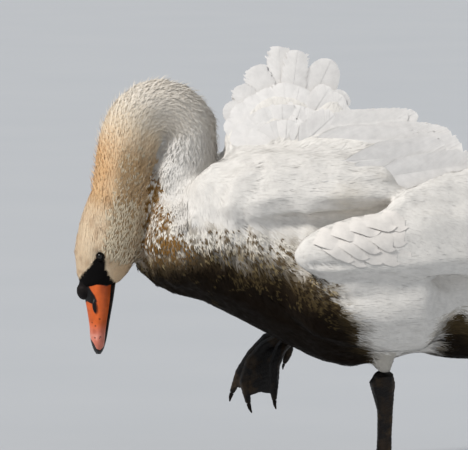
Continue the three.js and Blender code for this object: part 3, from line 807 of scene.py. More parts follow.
def coat(
    name, roots, kind, length, width, lift, curl, material,
    shade=(0.95, 1.02), soft=0.7, ragged=0.12, close=False, tips=None, sky=0.0,
):
    """Tufts of one kind on their roots, as one mesh or several of under PIECE_TRIANGLES each.

    length, width (mm), lift and curl are numbers or one number for each root. lift is the slope at the root,
    and curl how much of it is lost by the tip. shade is at root and tip, soft turns the shading towards the
    skin's, ragged makes blades uneven, close lays every corner at its height over the skin, tips are colours
    of the tufts' ends, and sky turns the shading up.
    """
    corners, faces = kind
    share = corners[:, 0]
    n = len(roots)
    rng = roots.rng
    length = np.broadcast_to(length, n) * (1 + 0.16 * rng.standard_normal(n).clip(-2, 2))
    width, lift, curl = (np.broadcast_to(q, n)[:, None] for q in (width, lift, curl))
    turn = rng.normal(0, 0.10, n)
    along = unit(roots.lie + np.cross(roots.up, roots.lie) * turn[:, None])
    side = np.cross(roots.up, along)
    blade = corners[:, 3].astype(int)
    each = (n, blade.max() + 1)
    u = share * (1 + ragged * rng.standard_normal(each))[:, blade]
    angle = corners[:, 1] + 0.06 * rng.standard_normal(each)[:, blade]
    distance = u * length[:, None]
    cos, sin = np.cos(angle), np.sin(angle)
    half = corners[:, 2] * width / 2
    forward = distance * cos - half * sin
    sideways = distance * sin + half * cos
    rise = distance * lift - curl * lift * length[:, None] * u**2
    rise = rise + rng.normal(0, 0.07 if close else 0.12, each)[:, blade]
    verts = roots.at[:, None] + along[:, None] * forward[..., None] + side[:, None] * sideways[..., None]
    up = np.broadcast_to(roots.up[:, None], verts.shape)
    if close:
        flat, normals = settled(verts)
        # A tuft that would settle on another body stays short.
        astray = (np.linalg.norm(flat - roots.at[:, None], axis=2) > 1.5 * length[:, None]).any(1)
        astray = (astray | ((normals * up).sum(2).min(1) < -0.2))[:, None, None]
        verts = np.where(astray, mix(roots.at[:, None], verts, 0.2), flat)
        up = np.where(astray, up, normals)
    verts = verts + up * rise[..., None]
    base = markings(roots.at, roots.part, roots.near)
    glow = np.interp(share, [0, 1], shade) + 0.012 * rng.standard_normal((n, 1))
    ends = markings(roots.at + 0.8 * length[:, None] * along, roots.part, roots.near)
    colour = mix(base[:, None], ends[:, None], share)
    if tips is not None:
        colour = mix(colour, tips[:, None], smooth(0.1, 0.5, share[None]))
    colour = colour * glow[..., None]
    patch = unwrap(roots.at, roots.part, roots.near)[:, None] + 0.0014 * np.stack([sin, u * 2 - 1], 2)
    slope = unit(up - along[:, None] * (lift * (1 - 2 * curl * u))[..., None])
    turned = side[:, None] * rng.standard_normal(each)[:, blade][..., None]
    normal = soft * unit(up + sky * SKYWARD) + (1 - soft) * (slope + 0.16 * turned)
    batch = PIECE_TRIANGLES // np.where(faces[:, 2] == faces[:, 3], 1, 2).sum()
    for k, start in enumerate(range(0, n, batch)):
        part = slice(start, start + batch)
        size = len(verts[part])
        index = (faces[None] + len(corners) * np.arange(size)[:, None, None]).reshape(-1, 4)
        point, tint, normals = (q[part].reshape(-1, 3) for q in (verts, colour, normal))
        uv = patch[part].reshape(-1, 2)
        mesh_object(f"{name}_{k + 1}", point, index, material, tint, uv, normals)


class Vanes:
    """Large feathers, each with a shaft and two vanes of barbs, gathered into one mesh."""

    def __init__(self, seed):
        self.rng = np.random.default_rng(seed)
        self.verts, self.faces, self.tints, self.uvs, self.normals = [], [], [], [], []
        self.count = 0
        self.start = 0

    def add(
        self, root, tip, face, width, barbs=36, bow=0.0, sweep=0.0, bare=0.08, fray=0.05, slant=0.7,
        blunt=0.55, tint=WHITE, soft=0.55, sky=0.0, notches=(), lined=False,
    ):
        """One feather from root to tip. face is the way its upper side looks.

        bow lifts its middle and sweep bends it sideways. barbs is their number on each side, bare the share
        of the shaft without them, fray how unevenly they reach, and slant how far they lean forwards. The end
        rounds off at blunt. soft and sky turn the shading to the face and upwards, notches are places where a
        vane has parted (side, share of the length, depth), and lined gives it an under side of its own.
        """
        rng = self.rng
        root, tip = np.asarray(root, float), np.asarray(tip, float)
        length = np.linalg.norm(tip - root)
        ahead = (tip - root) / length
        up = unit(np.asarray(face, float) - ahead * np.dot(face, ahead))
        across = np.cross(up, ahead)
        skyward = sky * SKYWARD

        def shaft(u):
            u = np.asarray(u)[..., None]
            lift = bow * 4 * u * (1 - u)
            bend = sweep * u * (u - 1)
            return root + ahead * (length * u) + up * lift + across * bend

        def half_width(u):
            rise = smooth(-0.1, 0.45, u) * 0.35 + 0.65 * smooth(-0.3, 0.3, u)
            fall = np.sqrt(np.clip(1 - np.clip((u - blunt) / (1 - blunt), 0, 1) ** 2.4, 0, 1))
            return width / 2 * rise * fall

        t = np.array([0, 0.36, 0.7, 1.0])
        edges = bare + (1 - bare) * np.arange(barbs + 1) / barbs
        u0 = (edges[1:] + edges[:-1]) / 2
        for sign in (-1.0, 1.0):
            # Barbs cling together in groups, which part towards the edge and reach unevenly.
            group = np.cumsum(rng.random(barbs) < 0.13)
            reach = 1 + rng.normal(0, fray, barbs) * (0.25 + 1.2 * u0**3)
            reach = reach + rng.normal(0, fray * 0.6, barbs + 1)[group]
            part = rng.normal(0, 0.012, barbs + 1)[group] * (0.3 + u0)
            for where, share, depth in notches:
                if where == sign:
                    reach = reach * (1 - depth * hill((u0 - share) / 0.02))
            rows = []
            for at, level in ((edges[:-1], -0.1), (edges[1:], 0.1)):
                w = half_width(at) + 0.12
                a = (w * reach)[:, None] * t
                forward = slant * a * (0.7 + 0.3 * a / w[:, None]) + part[:, None] * a * t
                centre = shaft(np.clip(at - slant * w / length, 0.5 * bare, 1))[:, None]
                out = across * (sign * a)[..., None] + ahead * forward[..., None]
                rows.append(centre + out + up * (level - CUP * a * t)[..., None])
            verts = np.stack(rows, 2)
            ids = self.grid(barbs, 4, 2)
            quads = [ids[:, :-1, 0], ids[:, 1:, 0], ids[:, 1:, 1], ids[:, :-1, 1]]
            quads = np.stack(quads, -1).reshape(-1, 4)
            if sign > 0:
                quads = quads[:, ::-1]
            shade = 0.99 + 0.012 * rng.standard_normal(barbs)[:, None].clip(-1, 1) - 0.02 * (1 - t)
            shade = shade * (0.95 + 0.05 * smooth(0, 0.5, u0))[:, None]
            colour = np.repeat((tint * shade[..., None])[:, :, None], 2, 2)
            flat = unit(up + skyward) + across * (sign * 0.5 * t)[:, None, None] * CUP * 3
            tilt = rng.normal(0, 0.10, (barbs, 1, 1, 1)) * ahead
            local = [0.5 + 0.82 * ((verts - root) @ across) / width, 0.94 * ((verts - root) @ ahead) / length]
            local = np.clip(np.stack(local, -1), 0, 1)
            self.put(verts, quads, colour, local, flat + (1 - soft) * 2 * tilt)
            if lined:
                under = quads[:, ::-1] + barbs * 8
                self.put(verts - up * LINING, under, colour, local, unit(skyward - up), 1)
        u = np.linspace(0, 0.97, SHAFT_POINTS)
        thin = (0.010 * width * (1 - 0.8 * u) + 0.1)[:, None]
        mid = shaft(u) + up * 0.12
        rows = np.stack([mid - across * thin, mid + up * thin * 0.8, mid + across * thin], 1)
        ids = self.grid(SHAFT_POINTS, 3)
        quads = [np.stack([ids[:-1, j], ids[1:, j], ids[1:, j + 1], ids[:-1, j + 1]], -1) for j in (0, 1)]
        local = np.stack([np.full(ids.shape, 0.5), np.repeat(u[:, None] * 0.94, 3, 1)], -1)
        flat = np.stack([unit(up + skyward) + 0.3 * k * across for k in (-1, 0, 1)])
        self.put(rows, np.concatenate(quads), tint * 0.96, local, flat)
        self.count += 2 if lined else 1

    def drape(self, root, way, length, width, rise, trail, tint):
        """A short broad feather laid over the skin, with a square end and no visible shaft.

        rise is how far its free edges stand off the skin, and trail (1 or -1) the long edge that is free.
        """
        up = settled(root)[1]
        ahead = unit(way - up * np.dot(way, up))
        across = np.cross(up, ahead)
        rows, columns = DRAPE_GRID
        u = 1 - np.linspace(1, 0, rows)[:, None] ** 1.5
        v = np.sin(np.linspace(-0.5, 0.5, columns) * math.pi)
        outline = (1 - np.clip((u - 0.5) / 0.5, 0, 1) ** 3.4) ** 0.5
        outline = outline * (1 + 0.02 * self.rng.standard_normal(rows)[:, None] * u)
        flat = root + ahead * (length * u + 0.10 * trail * v * length)[..., None]
        flat = flat + across * (outline * v)[..., None] * width / 2
        at, normal = settled(flat)
        normal = unit(normal.reshape(-1, 3).mean(0) + 0.35 * normal)
        free = (0.3 + 0.7 * np.sin(math.pi * np.minimum(0.92, u * 1.05))) * rise
        free = free * (0.2 + 0.8 * smooth(-1.1, 1.0, trail * v))
        lift = min(1.2, 0.12 + 0.45 * rise) + free + 0.3 * (noise(flat, 7, 19) - 0.5)
        place = at + normal * lift[..., None]
        ids = self.grid(rows, columns)
        quads = np.stack([ids[:-1, :-1], ids[1:, :-1], ids[1:, 1:], ids[:-1, 1:]], -1).reshape(-1, 4)
        shading = vertex_normals(place.reshape(-1, 3), quads - self.start)
        if (shading @ up).mean() < 0:
            quads, shading = quads[:, ::-1], -shading
        grain = np.stack([u * length * 0.4 - np.abs(v) * width * 0.4, 0 * u + v * 4, 0 * u + 0 * v], -1)
        colour = tint * (1 + 0.07 * (noise(grain, 1.1, 23) - 0.5))[..., None]
        local = np.stack([0.5 + 0.45 * v + 0 * u, 0.04 + 0.9 * u + 0 * v], -1)
        self.put(place, quads, colour, local, shading.reshape(place.shape))
        self.count += 1

    def grid(self, *shape):
        """Numbers for the next vertices, in rows and columns."""
        return np.arange(math.prod(shape)).reshape(shape) + self.start

    def put(self, verts, quads, colour, local, normals, cell=0):
        self.verts.append(verts.reshape(-1, 3))
        self.faces.append(quads)
        self.tints.append(np.broadcast_to(colour, verts.shape).reshape(-1, 3))
        self.uvs.append((local.reshape(-1, 2), self.count + cell))
        self.normals.append(np.broadcast_to(normals, verts.shape).reshape(-1, 3))
        self.start += len(self.verts[-1])

    def finish(self, name):
        """The mesh. Each feather has its own cell of a square grid in the map."""
        cells = math.ceil(math.sqrt(self.count))
        uvs = [(np.array([c % cells, c // cells]) + 0.03 + 0.94 * local) / cells for local, c in self.uvs]
        arrays = (self.verts, self.faces, self.tints, uvs, self.normals)
        verts, faces, tints, uv, normals = (np.concatenate(rows) for rows in arrays)
        return mesh_object(name, verts, faces, VANES, tints, uv, normals)


# ---- the coat ----


def bare_face(p):
    """How far inside the bare black skin between eye and bill each point is, in mm."""
    front = np.interp(p[:, 2], [221, 230, 240.4, 248.6, 260], [370, 353, 346, 338.5, 331])
    rear = np.interp(p[:, 2], [221.3, 227.7, 236.2, 246.1, 258.8], [300, 306, 313.5, 318.3, 320.0])
    return np.minimum(np.minimum(front - p[:, 0], p[:, 0] - rear), 262 - p[:, 2])


# The skin under the coat is painted a shade darker than the plumage: painted shade under the feathers.
skin_tint = markings(skin_v, skin_part, skin_near) * 0.97
skin_tint = mix(skin_tint, BLACK, smooth(-1.0, 1.2, bare_face(skin_v)) * (skin_part == "head"))
skin = mesh_object("skin", skin_v, skin_f, SKIN, tint=skin_tint)
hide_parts(*FLESH)

x, y, z = face_centre.T
head = face_part == "head"
on_head = head & (bare_face(face_centre) <= -0.6)
on_upper = (face_part == "neck_upper") | (face_part == "neck_arch")
on_lower = (face_part == "neck_lower") | ((face_part == "trunk") & (x > 225) & (z > 300))
behind = on_neck_rear(face_centre, face_near) * (on_head | (face_part == "neck_upper")) > 0.35
plain = (on_upper & ~behind) | (on_lower & (mottled(face_centre) < 0.3))

roots = dense(on_head, 7, 11)
toward = smooth(0.99, 0.80, NECK_S[roots.near])
shape = (2.6 + 4.2 * toward, 0.7 + 0.5 * toward, 0.26 + 0.24 * toward, 0.5)
coat("head_plush", roots, SPIKE, *shape, PLUSH, soft=0.85)
coat("neck_plush", dense(on_upper, 5, 12), SPIKE, 9.0, 1.3, 0.55, 0.45, PLUSH, soft=0.85, ragged=0.25)
# Curled pale-tipped feathers over the rear of the head and neck.
roots = spaced(behind, 3.4, 13)
pale = mix(markings(roots.at, roots.part, roots.near), linear("#f6e8cb"), 0.8)
curled = {"shade": (0.55, 1.05), "soft": 0.75, "ragged": 0.25, "tips": pale}
coat("neck_flecks", roots, TUFT3, 10.0, 1.7, 0.75, 0.7, PLUSH, **curled)
coat("neck_fringe", spaced(on_upper, 4.0, 15), TUFT3, 8.2, 1.1, 1.02, 0.2, PLUSH, soft=0.96, ragged=0.25)
coat("neck_tufts", dense(plain, 1, 14), TUFT3, 10, 1.5, 0.42, 0.5, PLUSH, soft=0.88, ragged=0.2)

breast = np.isin(face_part, ["trunk", "neck_lower", "thigh"])
# Below the line lie the belly's mud and painted shade.
line = mud_and_shade_line(face_centre)
mud_and_shade_here = (face_part != "thigh") | (y < 0)
below_mud_and_shade = (line + 6 > z) & mud_and_shade_here
front = breast & (x > 150)
fan = face_part == "fan"
fan_front = fan & (x > 40)
# Layers of feathers: where, spacing, seed, kind, length, width, lift, curl, material, softness and the rest.
LAYERS = {
    "breast_feathers": (front & ~below_mud_and_shade, 4.8, 21, SPLAY, 16, 1.4, 0.11, 0.6, CONTOUR, 0.95, {}),
    "belly_feathers": (breast & below_mud_and_shade, 4.8, 22, SPLAY5, 18, 1.6, 0.14, 0.6, MUDDY_AND_SHADED, 0.8, {"ragged": 0.22}),
    "body_feathers": (breast & ~below_mud_and_shade & ~front, 5.4, 23, SPLAY, 22, 1.5, 0.05, 0.7, CONTOUR, 0.96, {}),
    "cape_feathers": (face_part == "scapulars", 5.0, 24, SPLAY, 22, 1.4, 0.05, 0.7, CONTOUR, 0.96, {}),
    "fan_down": (fan_front, 4.2, 25, SPLAY, 22, 1.5, 0.035, 0.6, CONTOUR, 0.97, {"sky": 0.6}),
    "pad_down": (fan & ~fan_front, 5.4, 27, SPLAY, 26, 1.5, 0.045, 0.8, CONTOUR, 0.96, {}),
    "wing_down": (face_part == "wing", 5.4, 26, SPLAY, 20, 1.5, 0.05, 0.7, CONTOUR, 0.95, {}),
}
for name, (where, gap, seed, *shape, soft, more) in LAYERS.items():
    coat(name, spaced(where, gap, seed), *shape, soft=soft, close=True, **more)

# Light and dark tips along the edge of the mud and its painted shade, darker below the line, and rusty ones
# over the front of the breast.
flecked = ((z < line + 30) & (z > line - 40)) | (mottled(face_centre) > 0.25)
roots = spaced(breast & mud_and_shade_here & (x > 60) & flecked, 3.1, 30)
drop = mud_and_shade_line(roots.at) - roots.at[:, 2]
pick = np.random.default_rng(31).random(len(roots))
soiled_and_shaded = smooth(-46, 16, drop + 18 * (noise(roots.at, 20, 52) - 0.5))
warm = mottled(roots.at)
light = mix(linear("#f1ebe0"), linear("#9c8a66"), smooth(-20, 2, drop))
light = mix(light, linear("#4b3f28"), smooth(-2, 20, drop))
dark = mix(linear("#6b5a41"), linear("#84602f"), warm * smooth(10, -16, drop))
dark = mix(dark, linear("#1d150c"), smooth(-14, 20, drop))
tips = mix(light, dark, (pick < 0.12 + 0.36 * warm + 0.5 * soiled_and_shaded).astype(float))
shape = (8.0 - 1.5 * warm, 1.5 + 0.4 * warm, 0.30 + 0.15 * warm, 0.6)
coat("breast_flecks", roots, TUFT3, *shape, MUDDY_AND_SHADED, shade=(0.85, 1.0), soft=0.9, ragged=0.2, tips=tips)

# ---- large feathers ----

FAN_LOOKS = dict(barbs=64, bow=3, slant=0.9, soft=0.95, sky=0.35, tint=BRIGHT * 0.95, lined=True)
COVER_LOOKS = dict(
    barbs=40, bow=2, fray=0.03, blunt=0.7, slant=1.0, bare=0.02, soft=0.97, sky=0.5, tint=BRIGHT * 0.97,
    lined=True,
)
LONG_LOOKS = dict(
    barbs=54, bow=6, fray=0.025, blunt=0.74, slant=1.9, soft=0.93, sky=0.2, tint=BRIGHT * 0.98, lined=True
)
COVERT_LOOKS = dict(barbs=30, bow=3, bare=0.02, fray=0.025, blunt=0.72, tint=BRIGHT, soft=0.92, sky=0.2)
TAIL_LOOKS = dict(fray=0.02, blunt=0.62)
# How far along each raised feather's line from the fan's centre its shaft starts, how much the feathers turn
# their faces with their distance from the centre, and where the roots of their covers lie.
FAN_START, FAN_TURN, COVER_ROOT = 0.34, 0.002, 0.6
# Rows of broad feathers along the wing's ridge: x of the first and the last, how high they stand and width.
RIDGE_ROWS = [[76, -12, 3.2, 25], [62, -14, 2.4, 24], [44, -12, 1.2, 23]]
RIDGE_WHITE = BRIGHT * linear("#fbf8f4")
# Layers of the tail: feathers, how far they reach, height.
TAIL_LAYERS = [[21, 1.0, 0], [15, 0.62, 7], [11, 0.42, 12]]

# Further out to the side than any skin.
ASIDE = 300


def on_skin(x, side, z):
    """The point of the skin seen from the side at x and z, its normal and its part."""
    hit, _, face, _ = skin_tree.ray_cast(Vector((x, side * ASIDE, z)), Vector((0, -side, 0)))
    return (None, None, None) if hit is None else (np.array(hit), face_normal[face], face_part[face])


def outward(x, side, z, least):
    """How far out the skin is at x and z seen from the side, and least if it is further in or missing."""
    hit, _, _ = on_skin(x, side, z)
    return side * least if hit is None else side * max(least, side * hit[1])


def raised_feathers(word, side, seed):
    """The fan over the shoulder and the long feathers behind it."""
    drop = RAISED_DROP[word]
    cx, cz = FAN_CENTRE[0], FAN_CENTRE[1] - drop
    fan = Vanes(seed)
    rng = fan.rng
    for k, (tx, tz, width, out, ragged, blunt) in enumerate(FAN_TIPS):
        tz -= drop
        root = [cx + (tx - cx) * FAN_START, side * (out + 9), cz + (tz - cz) * FAN_START - 8]
        looks = {
            "fray": ragged, "blunt": blunt, "sweep": rng.normal(0, 1.5),
            "notches": [notch[1:] for notch in FAN_NOTCHES if notch[0] == k],
        }
        face = [(tx - cx) * FAN_TURN, side, 0.12]
        fan.add(root, [tx, side * (out + 5), tz], face, width * 1.04, **looks, **FAN_LOOKS)
    for tx, tz, width in FAN_COVERS:
        tz -= drop
        rx, rz = tx + COVER_ROOT * (cx - tx), tz + COVER_ROOT * (cz - 12 - tz)
        root = [rx, outward(rx, side, rz, 48) - 5 * side, rz]
        tip = [tx, outward(tx, side, tz, 47) + 3 * side, tz]
        fan.add(root, tip, [(tx - cx) * FAN_TURN, side, 0.12], width, sweep=rng.normal(0, 2), **COVER_LOOKS)
    fan.finish(f"fan_{word}")
    long = Vanes(seed + 1)
    rng = long.rng
    lower = drop + 3.5 * (1 - side)
    for tx, tz, rx, rz, width, out, sag, copies in LONG_FEATHERS:
        tz -= lower
        rz -= lower
        for j in range(copies):
            dx, dz = (0, 0) if j == 0 else (15 * j + rng.normal(0, 3), -3.5 * j + rng.normal(0, 2))
            root = [rx + dx * 0.4, outward(rx, side, rz + dz, out) + (1.4 * j - 5.5) * side, rz + 0.6 * dz]
            tip = [tx + dx, outward(tx + dx, side, tz + dz, out) + (2 + 2.2 * j) * side, tz + dz]
            bend = sag + rng.normal(0, 2)
            long.add(root, tip, [0, side * 0.9, 0.25], width * (1.08 - 0.05 * j), sweep=bend, **LONG_LOOKS)
    pieces = long.finish(f"long_feathers_{word}")
    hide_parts(f"raised_feathers_{word}")


def ridge_feathers(covers, side, edge):
    """Broad feathers along the wing's ridge, each over the one behind it, in three rows."""
    rng = covers.rng
    for row, (first, last, rise, width) in enumerate(RIDGE_ROWS):
        at = first + rng.uniform(-2, 2)
        drapes = []
        while at > last:
            root, _, _ = on_skin(at, side, np.interp(at, *edge) - 8 - 14 * row + rng.normal(0, 1.0))
            if root is not None:
                way = np.array([-1, 0, -0.85 + rng.normal(0, 0.08)])
                start = root - unit(way) * (5 + 4 * min(row, 1))
                length = 38 + rng.normal(0, 2)
                breadth = width * (1 + 0.06 * rng.standard_normal())
                high = rise * (0.02 + 0.98 * smooth(last, last + 40, at))
                drapes.append((start, way, length, breadth, high))
            at -= width * 0.72 * (1 + 0.08 * rng.standard_normal())
        for drape in drapes:
            covers.drape(*drape, -side, RIDGE_WHITE)


def wing_feathers(word, side, seed):
    """Coverts over the folded wing, and its flight feathers."""
    edge_at, edge_top, edge_low = np.array(WING_EDGE[::-1]).T
    covers = Vanes(seed)
    rng = covers.rng
    ridge_feathers(covers, side, (edge_at, edge_top))
    # Longer coverts in rows over the rear half.
    for row in range(7):
        length = np.interp(row, [0, 2, 6], [38, 48, 66])
        width = np.interp(row, [0, 2, 6], [22, 25, 30])
        at = -74.0 - 10 * row + rng.uniform(-4, 4)
        while at > -300:
            level = np.interp(at, edge_at, edge_top) - 4 - 13 * row + rng.normal(0, 0.8)
            root, up, part = on_skin(at, side, level)
            if level > np.interp(at, edge_at, edge_low) + 4 and part in ("wing", "trunk"):
                way = np.array([-1, 0, -0.35 * smooth(6, 0, row) * smooth(-230, 40, at) - 0.12])
                way = unit(way - up * way.dot(up))
                grow = 1 + 0.4 * smooth(-60, -260, at)
                tip = root + way * length * grow + up * (1.6 + 0.03 * length)
                covers.add(root - up, tip, up, width * grow**0.5, **COVERT_LOOKS)
            at -= width * 0.74 * (1 + 0.1 * rng.standard_normal())
    covers.finish(f"coverts_{word}")
    flight = Vanes(seed + 1)
    for t in np.linspace(0, 1, 9):
        root = [-170 - 42 * t, side * (80 - 6 * t), 338 - 40 * t]
        tip = [-322 - 26 * t + flight.rng.normal(0, 3), side * (34 + 12 * t), 344 - 52 * t]
        flight.add(root, tip, [0, side * 0.75, 0.66], 34, barbs=60, bow=5, fray=0.03, blunt=0.72)
    secondaries = flight.finish(f"secondary_feathers_{word}")
    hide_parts(f"secondaries_{word}")
    primary = Vanes(seed + 2)
    for t in np.linspace(0, 1, 6):
        root = [-252, side * (62 - 10 * t), 300 + 16 * t]
        tip = [-362 - 42 * t, side * (37 - 16 * t), 313 + 18 * t]
        face = [0, side * 0.62, 0.78]
        primary.add(root, tip, face, 27 - 3 * t, barbs=64, bow=4, fray=0.02, blunt=0.5, slant=1.1)
    primaries = primary.finish(f"primary_feathers_{word}")
    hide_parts(f"primaries_{word}")


def tail_feathers():
    tail = Vanes(77)
    for layer, (number, reach, lift) in enumerate(TAIL_LAYERS):
        for t in np.linspace(-1, 1, number):
            spread = abs(t)
            root = np.array([-292, 30 * t, 284 - 5 * spread + lift * 0.6])
            back = -478 + 62 * spread**1.4 + (1 - reach) * 190 + tail.rng.normal(0, 2)
            tip = np.array([back, 75 * t * (0.55 + 0.45 * reach), 279 - 10 * spread + lift])
            tail.add(root, tip, [0, 0.36 * t, 1], 36, barbs=60, bow=3, **TAIL_LOOKS)
            if layer == 0:
                under = (root - [0, 0, 10], tip - [0, 0, 3])
                tail.add(*under, [0, -0.3 * t, -1], 34, barbs=40, bow=2, **TAIL_LOOKS)
    piece = tail.finish("tail_feathers")
    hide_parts("tail")


for seed, (word, side) in enumerate(SIDES.items()):
    raised_feathers(word, side, 100 + 10 * seed)
    wing_feathers(word, side, 200 + 10 * seed)
tail_feathers()

# ---- bill, knob, eyes ----

ORANGE = linear("#d5622a")
PINK = linear("#e08a78")
# Small dark spots on the sides of the bill: x, z, radius.
BILL_SPOTS = [
    [326.3, 188.6, 0.9], [331.2, 180.5, 0.8], [331.8, 166.8, 0.8], [325.5, 168, 0.8], [335, 184, 0.6],
    [326.5, 166.5, 0.5],
]
LID_SIDES = 64
# Rings of the eyelids, outwards from the eye: reach, height over the eye's centre.
LID_RINGS = [[3.1, 4.7], [3.3, 5.05], [3.55, 5.0], [3.85, 4.6], [4.15, 4.0], [4.5, 3.0], [4.9, 1.2]]


def bill_ring(x0, z0, depth, breadth, sides, power, ridge):
    cos, sin = circle(sides)
    c = np.sign(cos) * np.abs(cos) ** (2 / power)
    q = np.sign(sin) * np.abs(sin) ** (2 / power)
    narrow = 1 - ridge * np.maximum(0, c)
    wide = 1 + 0.10 * np.maximum(0, -c)
    return np.stack([x0 + depth * c, HEAD_Y + breadth * q * narrow * wide, np.full(sides, z0)], 1)


def make_upper_bill():
    upper = through(MAXILLA)
    v, f = lathe([bill_ring(*upper(t), 120, 2.2, 0.35) for t in np.linspace(0, 1, 150)])
    n = vertex_normals(v, f)
    x, y, z = v.T
    out = np.abs(y - HEAD_Y)
    # Nostril: a slot sunk into the side, with a soft rim.
    slot = np.hypot((x - 331.4 - (z - 203) * 0.10) / 2.2, (z - 203) / 7.4)
    side = smooth(4, 9, out)
    relief = 0.5 * smooth(2.1, 1.5, slot) * smooth(1.0, 1.5, slot) - 2.6 * smooth(1.25, 0.5, slot)
    v = v + n * (relief * side)[:, None]
    # A long shallow hollow from the knob past the nostril.
    hollow = hill((x - 333.5) / 4.5) * smooth(186, 200, z) * smooth(226, 214, z) * side
    v = v - n * (0.9 * hollow)[:, None]
    # Black: behind and in the nostril, round the base and the knob, the cutting edge, the nail and spots.
    behind = np.interp(z, [202, 209, 216, 222, 227], [332.0, 329.2, 332.0, 336.5, 340.0])
    ahead = np.interp(z, [202, 206, 209, 221, 226], [334.0, 335.4, 343, 345, 346])
    patch = smooth(-0.6, 0.6, np.minimum(ahead - x, x - behind)) * smooth(203, 207, z)
    base_line = 227.4 + 0.8 * np.sin(x * 0.35) + 0.8 * (noise(v, 3, 5) - 0.5)
    heights, edge = [148, 163, 175, 186, 198, 209, 226], [320.9, 319.5, 317.8, 316.2, 314.0, 312.2, 310.6]
    nail_at, nail = [316, 319, 322.6, 326, 330, 333.5, 337], [160, 158, 155.5, 152.5, 154, 160.5, 165]
    near_knob = np.linalg.norm(v - np.array(KNOB), axis=1) + 2 * (noise(v, 4, 8) - 0.5)
    black = [
        patch * smooth(3, 6, out),
        smooth(1.3, 0.9, slot) * side,
        smooth(-0.5, 0.5, z - base_line),
        smooth(0.5, -0.5, x - np.interp(z, heights, edge)),
        smooth(14.5, 12.5, near_knob),
        smooth(0.5, -0.5, z - np.interp(x, nail_at, nail)),
    ]
    for sx, sz, r in BILL_SPOTS:
        black.append(0.75 * smooth(r + 0.5, r - 0.2, np.hypot(x - sx, z - sz)) * smooth(3, 6, out))
    pink = smooth(187, 166, z + 5 * (noise(v, 9, 4) - 0.5))
    colour = mix(ORANGE, PINK, 0.85 * pink)
    shade = 0.55 * smooth(208, 226, z) * smooth(332, 318, x) + 0.25 * smooth(0.55, 0.8, noise(v, 6, 12))
    colour = mix(colour, linear("#8e3511"), shade)
    # Paler streaks near the tip: a painted highlight.
    pale = 0.6 * smooth(174, 164, z) * smooth(0.6, 0.9, noise(v, 5, 33) + 0.35 * smooth(323, 320, x))
    colour = mix(colour, linear("#efb9a8"), pale)
    colour = mix(colour, BLACK, np.max(black, axis=0))
    bill = mesh_object("bill", v, f, HORN, tint=colour)
    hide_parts("bill_upper", "bill_nail")


def make_lower_bill():
    lower = through(MANDIBLE)
    v, f = lathe([bill_ring(*(lower(t) * [1, 1, 0.9, 0.72]), 48, 2.0, 0.0) for t in np.linspace(0, 1, 60)])
    colour = mix(BLACK, linear("#3a2419"), 0.5 * smooth(0.5, 0.8, noise(v, 5, 2)))
    jaw = mesh_object("lower_bill", v, f, DARK_HORN, tint=colour)
    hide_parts("bill_lower")


def make_knob():
    kx, ky, kz = KNOB
    lobes = [
        ellipsoid(KNOB, (9.6, 9.2, 10.6)),
        ellipsoid((kx - 2, ky, kz + 8), (9, 9.5, 8)),
        ellipsoid((kx - 6, ky, kz - 1), (8, 9, 11)),
    ]
    v, f = remeshed(lobes, 0.7, 8)
    swell = 0.5 + 0.3 * (noise(v, 2.4, 6) - 0.5) + 0.5 * (noise(v, 6, 7) - 0.5)
    v = v + vertex_normals(v, f) * swell[:, None]
    colour = mix(BLACK, linear("#231e1d"), noise(v, 4, 9))
    knob = mesh_object("bill_knob", v, f, DARK_HORN, tint=colour)
    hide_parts("knob")


def make_eye(word, side):
    ex, out, ez = EYE
    centre = np.array([ex, HEAD_Y + side * out, ez])
    v, f = ellipsoid((0, 0, 0), [EYE_RADIUS] * 3, 64)
    look = unit(np.array([0.18, side, 0.12]))
    axis = v @ look / EYE_RADIUS
    v = v * (1 + 0.10 * smooth(0.80, 0.97, axis))[:, None]
    radius = np.sqrt(np.clip(1 - axis**2, 0, 1)) * EYE_RADIUS
    pupil = smooth(2.3, 1.9, radius) * (axis > 0)
    colour = mix(linear("#160b06"), linear("#060504"), pupil)
    colour = mix(colour, linear("#0c0907"), smooth(3.0, 3.5, radius))
    ball = mesh_object(f"eyeball_{word}", v + centre, f, EYEBALL, tint=colour)
    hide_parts(f"eye_{word}")
    # Lids: a soft black ring of skin, a little drawn out up and down, with a fold behind it.
    turn = np.linspace(0, 2 * math.pi, LID_SIDES, endpoint=False)
    aside = unit(np.cross(look, [0, 0, 1]))
    ring = (np.cos(turn) * 0.95 * (1 + 0.06 * np.cos(2 * turn + 0.7)))[:, None] * aside
    ring = ring + (np.sin(turn) * 1.18)[:, None] * np.cross(look, aside)
    v = np.concatenate([centre + look * height + reach * ring for reach, height in LID_RINGS])
    v = v + 0.25 * (noise(v, 1.6, 3) - 0.5)[:, None] * look
    f = ring_quads(len(LID_RINGS), LID_SIDES)
    if side > 0:
        f = f[:, ::-1]
    mesh_object(f"eyelids_{word}", v, f, DARK_HORN, tint=BLACK * 0.8)


make_upper_bill()
make_lower_bill()
make_knob()
for word, side in SIDES.items():
    make_eye(word, side)

# ---- legs and feet ----

LEG_BLACK = linear("#120d0a")
LEG_VOXEL, CLAW_VOXEL = 1.1, 0.35
TOES = ("inner", "middle", "outer", "hind")


def on_floor(v, word):
    """The standing foot's vertices, none of them below the floor. The other foot's stay as they are."""
    return np.maximum(v, [-np.inf, -np.inf, 0.0]) if word == "left" else v


